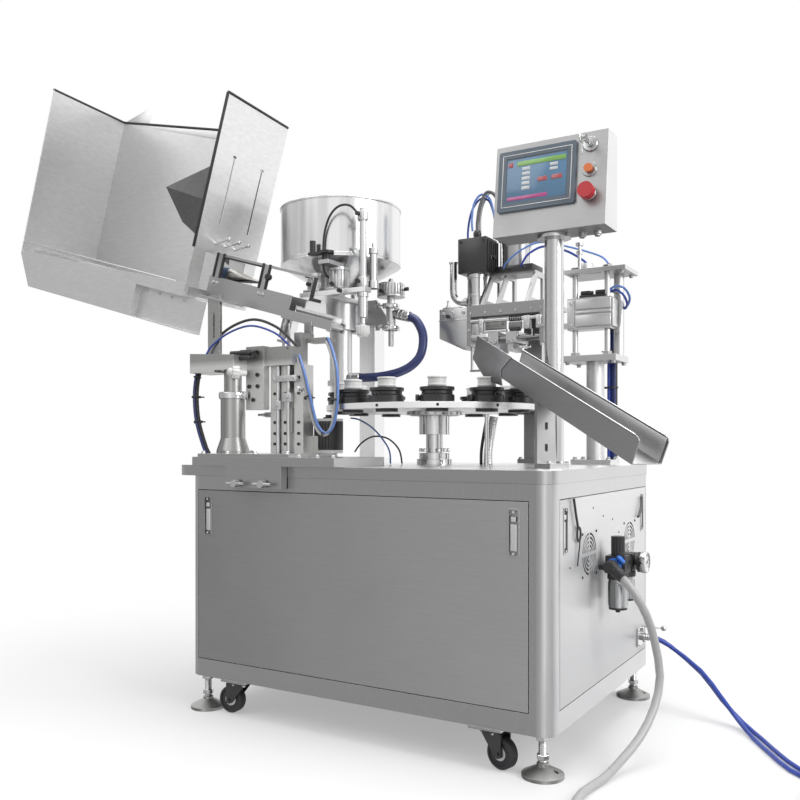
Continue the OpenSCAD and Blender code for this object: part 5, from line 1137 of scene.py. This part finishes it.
unit = {"x": 596, "y": -64, "step": 64, "z": 456, "bowlR": 23.6}
gaugeAt = (651, 0, unit["z"])
bm = bmesh.new()
for k in (0, 1):
    y = unit["y"] + k * unit["step"]
    low = 342 + 14 * k
    putLathe(bm, [(0, 0.4), (14, -0.4), (unit["bowlR"] - 2, 2), (unit["bowlR"], 7),
                  (unit["bowlR"], 424 - low)], moved((unit["x"], y, low)), 44)
    putOutline(bm, flutes(unit["bowlR"], unit["bowlR"] + 1.2, 8, 0.7), 424 - low - 24,
               moved((unit["x"], y, low + 10)), 0.3)
addPiece("unitBowls", bm, "bowlGuard")
bm = bmesh.new()
for k in (0, 1):
    y = unit["y"] + k * unit["step"]
    putLathe(bm, [(20, 418), (25.5, 418), (26.5, 420), (26.5, 431), (25.5, 434), (20, 434)],
             moved((unit["x"], y, 0)), 40)
    putBox(bm, (unit["x"] - 26, y - 26, 436), (unit["x"] + 26, y + 26, 476), 4)
putLathe(bm, [(12, 0), (16, 0), (17, 2), (17, 9), (15, 11), (15, 30), (12, 32)],
         upright((unit["x"], -112, unit["z"]), front), 12)
putLathe(bm, [(10.4, 0), (15, 0), (15.5, 4), (14, 8), (15.5, 12), (14, 16), (15.5, 20), (14, 24), (15, 28),
              (13, 44), (10.6, 46)], upright((598, -130, 459), (0.76, -0.29, -0.58)), 28)
addPiece("unitBody", bm, "blackPlastic")
bm = bmesh.new()
putOutline(bm, flutes(16.6, 18.4, 16), 20, upright((unit["x"], -90, unit["z"]), front), 0.6)
putLathe(bm, [(0, 0), (11, 0), (12, 1), (12, 6), (10, 7), (0, 7)],
         upright((unit["x"] + 16, -100, 470), (0.7, 0, 0.7)), 20)
addPiece("shutOffRing", bm, "blueMoulding")
bm = bmesh.new()
putLathe(bm, [(24, -12), (27, -12), (27.6, -10), (27.6, 1), (26.5, 3), (24.5, 3), (24.5, 0)],
         upright(gaugeAt, right), 56)
addPiece("gaugeBezel", bm, "mirrorSteel")
bm = bmesh.new()
putLathe(bm, [(0, 0.6), (23, 0.6), (24.6, 0.4), (24.6, -1)], upright(gaugeAt, right), 56)
addPiece("gaugeFace", bm, "whitePlastic")
bm = bmesh.new()
for k in range(28):
    inner = 16 if k % 3 == 0 else 18.5  # every third mark is longer
    putBox(bm, (0.5, inner, -0.45), (0.95, 21.5, 0.45), 0.05,
           moved(gaugeAt) @ turned("X", -45 + 270 * k / 27))
putBox(bm, (0.9, -5, -0.7), (1.6, 17, 0.7), 0.1, moved(gaugeAt) @ turned("X", 20))
putLathe(bm, [(0, 0.5), (2.6, 0.5), (2.6, 2), (0, 2.2)], upright(gaugeAt, right), 16)
addPiece("gaugeMarks", bm, "blackPlastic")
print("air unit dressed")


# hoses and cables on the machine

def around(points, offset):  # a strand beside a bundle's line
    return [tuple(a + b for a, b in zip(p, offset)) for p in points]


onBoard = {
    "productHose": ([(-132.4, 133, 1162), (-104, 132, 1146), (-78, 126, 1100), (-76, 112, 1042),
                     (-100, 100, 1006), (-143, 90, 984), (-205, 84, 973), (-262, 82, 971), (-300, 82, 972)],
                    28, "darkBlueHose"),
    "archCable": ([(-586, -296, 1022), (-560, -294, 1060), (-500, -288, 1104), (-420, -276, 1124),
                   (-345, -262, 1098), (-292, -254, 1052), (-278, -252, 1036)], 8, "blackPlastic"),
    "archLine": ([(-570, -316, 1022), (-550, -312, 1050), (-494, -302, 1086), (-420, -290, 1104),
                  (-352, -272, 1084), (-310, -262, 1052), (-300, -260, 1036)], 6, "blueHose"),
    "cylinderLine": ([(-178, -82, 1440), (-196, -104, 1466), (-228, -116, 1466), (-264, -112, 1442),
                      (-286, -109, 1392), (-290, -109, 1330), (-290, -108, 1296), (-289, -98, 1272),
                      (-283, -82, 1262)], 7, "blackPlastic"),
}
loop = [(-280, -250, 1008), (-246, -272, 960), (-214, -288, 890), (-182, -298, 812), (-150, -300, 784),
        (-124, -298, 812), (-118, -290, 880), (-136, -268, 960), (-178, -232, 1024), (-212, -206, 1058)]
onBoard["loopWhite"] = (loop, 9, "whiteHose")
onBoard["loopBlue"] = (around(loop, (9, -2, 6)), 7, "paleBlueHose")
onBoard["loopBlack"] = (around(loop, (3, 7, 3)), 5, "blackPlastic")
bundle = [(-598, -300, 1004), (-608, -312, 960), (-606, -322, 900), (-590, -330, 826),
          (-560, -334, 756), (-546, -334, 733)]
for k, (dx, dy, look) in enumerate(((0, -5, "darkBlueHose"), (6, 0, "blackPlastic"), (-5, 2, "darkBlueHose"),
                                    (2, 6, "blackPlastic"))):
    onBoard["bundleStrand%d" % k] = (around(bundle, (dx, dy, 0)), 9, look)
riser = [(456, 342, 700), (456, 342, 850), (456, 342, 1000), (458, 340, 1100),
         (470, 324, 1150), (482, 308, 1170)]
for k, (dx, dy, look) in enumerate(((-8, -6, "blueHose"), (8, -6, "darkBlueHose"), (0, 2, "blueHose"),
                                    (-8, 9, "blackPlastic"), (8, 9, "blackPlastic"))):
    onBoard["riserStrand%d" % k] = (around(riser, (dx, dy, 0)), 11, look)
standIns = len(onBoard)  # these stand in for the hoses of the part, the rest are added
onBoard |= {
    "heaterLineA": ([(40, 236, 1432), (38, 236, 1470), (44, 240, 1520), (66, 246, 1546), (92, 252, 1530),
                     (104, 258, 1480), (110, 264, 1430), (126, 268, 1405)], 7, "paleBlueHose"),
    "heaterLineB": ([(10, 270, 1400), (6, 272, 1440), (20, 268, 1500), (52, 262, 1536), (84, 262, 1528),
                     (98, 268, 1490), (112, 282, 1440), (130, 290, 1404)], 7, "blueHose"),
    "heaterCable": ([(54, 242, 1432), (54, 242, 1460), (62, 244, 1510), (82, 248, 1550), (108, 254, 1540),
                     (126, 270, 1490), (150, 300, 1440), (176, 318, 1404)], 10, "greyCable"),
    "heaterLineC": ([(60, 252, 1432), (58, 254, 1466), (64, 258, 1512), (84, 266, 1552), (106, 276, 1546),
                     (122, 290, 1500), (146, 312, 1440), (160, 322, 1404)], 7, "whiteHose"),
    "sealerLine": ([(208, 232, 1303), (216, 222, 1312), (236, 222, 1336), (280, 236, 1356), (340, 256, 1340),
                    (388, 262, 1310), (408, 262, 1290)], 7, "blueHose"),
    "sealerLineB": ([(150, 232, 1303), (164, 218, 1316), (210, 214, 1346), (270, 228, 1368), (350, 252, 1350),
                     (440, 266, 1316), (468, 264, 1290)], 6, "paleBlueHose"),
    "trimLoopA": ([(486, 232, 1202), (502, 236, 1204), (516, 250, 1192), (520, 276, 1172), (508, 302, 1160),
                   (490, 312, 1164)], 7, "blueHose"),
    "trimLoopB": ([(480, 226, 1202), (500, 228, 1214), (520, 246, 1210), (528, 274, 1188), (514, 306, 1170),
                   (494, 318, 1160)], 7, "paleBlueHose"),
    "trimWhite": ([(470, 246, 1206), (494, 250, 1200), (508, 252, 1176), (508, 252, 1140), (504, 254, 1108),
                   (492, 262, 1086)], 8, "whiteHose"),
    "panelCord": ([(555, -277, 632), (556, -272, 612), (555.6, -262, 590), (556, -254, 570),
                   (555.6, -250, 560)], 6, "blackPlastic"),
    "panelCordTail": ([(555.6, -236, 531), (555.4, -238, 514), (555.2, -246, 490), (555.2, -252, 470)],
                      3.4, "blackPlastic"),
    "panelSleeve": ([(555.4, 306, 606), (556.5, 300, 588), (556.5, 290, 570), (556, 276, 556),
                     (555.6, 266, 550)], 8, "greyCable"),
    "tableLine": ([(-223, -60, 838), (-190, -62, 832), (-140, -66, 806), (-104, -64, 770), (-86, -60, 738),
                   (-84, -58, 702)], 5, "paleBlueHose"),
    "tableCable": ([(-222, -40, 736), (-196, -44, 762), (-150, -50, 782), (-96, -54, 776), (-60, -50, 744),
                    (-50, -48, 702)], 5, "blackPlastic"),
}
hosePieces = []
for name, (points, d, look) in onBoard.items():
    body = "trimmer" if name.startswith("trim") else "machine"
    hosePieces.append(addHose(name, points, d, look, body))
for piece in hosePieces[:standIns]:
    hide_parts("hoses")
bm = bmesh.new()
ties = [(bundle[1], (-0.1, -0.1, -1), 11.5), (bundle[2], (0.1, -0.1, -1), 11.5),
        (bundle[3], (0.3, -0.1, -1), 11.5), (loop[2], (0.4, -0.1, -1), 11), (loop[4], right, 11),
        (loop[6], (0, 0.2, 1), 11), ((456, 342, 800), up, 18), ((456, 342, 930), up, 18),
        ((456, 342, 1040), up, 18), ((458, 340, 1100), (0.1, -0.1, 1), 18)]
for at, axis, r in ties:
    place = upright(at, axis)
    putLathe(bm, [(r - 1.6, -2.6), (r, -2.4), (r, 2.4), (r - 1.6, 2.6), (r - 1.6, -2.6)], place, 28)
    putBox(bm, (r - 1, -3, -3.4), (r + 5, 3, 3.4), 0.8, place)
    putBox(bm, (r + 4, -0.7, -2), (r + 15, 0.7, 2), 0.3, place)
ring = [(0, 12 * math.cos(t), 17 * math.sin(t)) for t in circle(28)]
for a, b in zip(ring, ring[1:] + ring[:1]):
    along = Vector(b) - Vector(a)
    l = along.length
    putLathe(bm, [(2.4, -0.3), (2.6, 0.2), (2.6, l - 0.2), (2.4, l + 0.3)],
             upright(Vector(a) + Vector((555.6, -243, 545)), along), 10)
addPiece("cableTies", bm, "blackPlastic")
print("hoses fitted:", len(hosePieces))


# supply hoses on the floor

def windings(centre, keys, way, step=12):  # (turned angle, radius, height) stages, eased from one to the next
    out = []
    start = keys[0][0]
    angle = start
    while angle < keys[-1][0] - 0.01:
        for (a0, r0, z0), (a1, r1, z1) in zip(keys, keys[1:]):
            if a0 <= angle < a1:
                t = (angle - a0) / (a1 - a0)
                t = t * t * (3 - 2 * t)
                r, z = r0 + (r1 - r0) * t, z0 + (z1 - z0) * t
        heading = math.radians(start + way * (angle - start))
        out.append(Vector((centre[0] + r * math.cos(heading), centre[1] + r * math.sin(heading), z)))
        angle += step
    return out


airHose = {"diameter": 0.020, "coilAt": (0.850, -0.760),
           "route": [(0.604, -0.132, 0.454), (0.630, -0.142, 0.434), (0.660, -0.138, 0.396),
                     (0.684, -0.120, 0.342), (0.696, -0.094, 0.277),
                     (0.706, -0.082, 0.190), (0.702, -0.122, 0.122), (0.686, -0.188, 0.068),
                     (0.660, -0.256, 0.028), (0.644, -0.340, 0.010),
                     (0.630, -0.430, 0.010), (0.642, -0.530, 0.010), (0.690, -0.640, 0.010),
                     (0.720, -0.705, 0.010), (0.725, -0.760, 0.010)],
           "turns": [(180, 0.125, 0.010), (468, 0.125, 0.010), (540, 0.105, 0.010),
                     (756, 0.105, 0.010), (828, 0.105, 0.030),
                     (1116, 0.105, 0.030), (1188, 0.125, 0.030), (1440, 0.125, 0.030)],
           "tail": [(0.975, -0.760, 0.030), (0.975, -0.725, 0.028), (0.975, -0.690, 0.018),
                    (0.975, -0.645, 0.012)]}
waterHose = {"diameter": 0.012, "coilAt": (1.140, -0.190),
             "routes": {"a": [(0.566, 0.294, 0.198), (0.600, 0.292, 0.196), (0.640, 0.284, 0.184),
                              (0.730, 0.264, 0.130), (0.790, 0.236, 0.072), (0.840, 0.206, 0.024),
                              (0.890, 0.130, 0.006), (0.940, 0.040, 0.006), (0.996, -0.052, 0.006),
                              (1.070, -0.112, 0.006), (1.140, -0.123, 0.006)],
                        "b": [(0.566, 0.316, 0.198), (0.600, 0.314, 0.194), (0.640, 0.304, 0.178),
                              (0.730, 0.280, 0.118), (0.790, 0.246, 0.062), (0.850, 0.214, 0.018),
                              (0.908, 0.140, 0.006), (0.958, 0.050, 0.006), (1.014, -0.034, 0.006),
                              (1.084, -0.098, 0.012), (1.140, -0.123, 0.018)]},
             "turns": [(90, 0.067, 0.0), (340, 0.067, 0.0), (410, 0.067, 0.024), (810, 0.067, 0.024)],
             "tails": {"a": [(1.140, -0.123, 0.030), (1.180, -0.123, 0.030), (1.215, -0.123, 0.020),
                             (1.265, -0.123, 0.008)],
                       "b": [(1.140, -0.123, 0.042), (1.180, -0.122, 0.042), (1.215, -0.114, 0.026),
                             (1.265, -0.107, 0.008)]}}


def layHose(name, route, coil, tail, diameter, look, nodesReplaced):
    line = smoothPath(route, 2)[:-1] + coil + smoothPath(tail, 4)
    piece = hoseCurve(name, line, diameter, finish[look])
    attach(piece, "machine")
    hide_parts(*nodesReplaced)
    print(name, "length", round(pathLength(line), 3))


bm = bmesh.new()
place = upright((975, -657, 12), back)
putLathe(bm, [(9, 0), (12, 0), (12, 16), (11, 18), (11, 22), (12, 24)], place, 32)
putOutline(bm, flutes(11, 12.2, 20), 26, place @ moved((0, 0, 24)), 0.4)
putLathe(bm, [(11.5, 48), (12, 50), (12, 62), (10.6, 64), (10.6, 72), (6, 72), (6, 60), (0, 60)], place, 32)
airCoupler = addPiece("airCoupler", bm, "mirrorSteel")
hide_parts("hose_ends")
for key, y in (("a", -123), ("b", -107)):
    bm = bmesh.new()
    place = upright((1253, y, 8), right)
    putLathe(bm, [(5.6, 0), (7.2, 0), (7.4, 4), (6.8, 6), (7.4, 8), (7.4, 14), (6, 15)], place, 26)
    putLathe(bm, [(0, 15), (7.4, 15), (7.4, 24), (6.8, 25), (0, 25)], place, 6)
    putLathe(bm, [(0, 25), (5.4, 25), (5.4, 37), (4.6, 39), (3, 39), (3, 30), (0, 30)], place, 26)
    addPiece("waterNipple_" + key, bm, "mirrorSteel")
    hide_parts("hose_ends")


def coilTie(name, centre, angle, rIn, rOut, top):  # strap round a coil's turns
    bm = bmesh.new()
    place = moved((*centre, 0)) @ turned("Z", angle)
    putBox(bm, (rIn - 2.5, -6, 0.2), (rIn - 0.6, 6, top + 2), 0.5, place)
    putBox(bm, (rOut + 0.6, -6, 0.2), (rOut + 2.5, 6, top + 2), 0.5, place)
    putBox(bm, (rIn - 2.5, -6, top + 0.6), (rOut + 2.5, 6, top + 2.5), 0.5, place)
    putBox(bm, ((rIn + rOut) / 2 - 7, -7, top + 1), ((rIn + rOut) / 2 + 7, 7, top + 5), 1, place)
    return addPiece(name, bm, "blackPlastic")


airTie = coilTie("airCoilTie", (850, -760), 60, 95, 135, 40)
waterTie = coilTie("waterCoilTie", (1140, -190), 250, 61, 73, 48)
coil = windings(airHose["coilAt"], airHose["turns"], 1)
layHose("airHose", airHose["route"], coil, airHose["tail"], airHose["diameter"], "whiteHose",
        ["air_hose", "air_coil"])
for key, base, ends in (("a", 0.006, [waterTie]), ("b", 0.018, [])):
    stages = [(a, r, z + base) for a, r, z in waterHose["turns"]]
    coil = windings(waterHose["coilAt"], stages, -1)
    layHose("waterHose_" + key, waterHose["routes"][key], coil,
            waterHose["tails"][key], waterHose["diameter"],
            "blueHose", ["water_hoses", "water_coil"])
print("supply hoses laid")
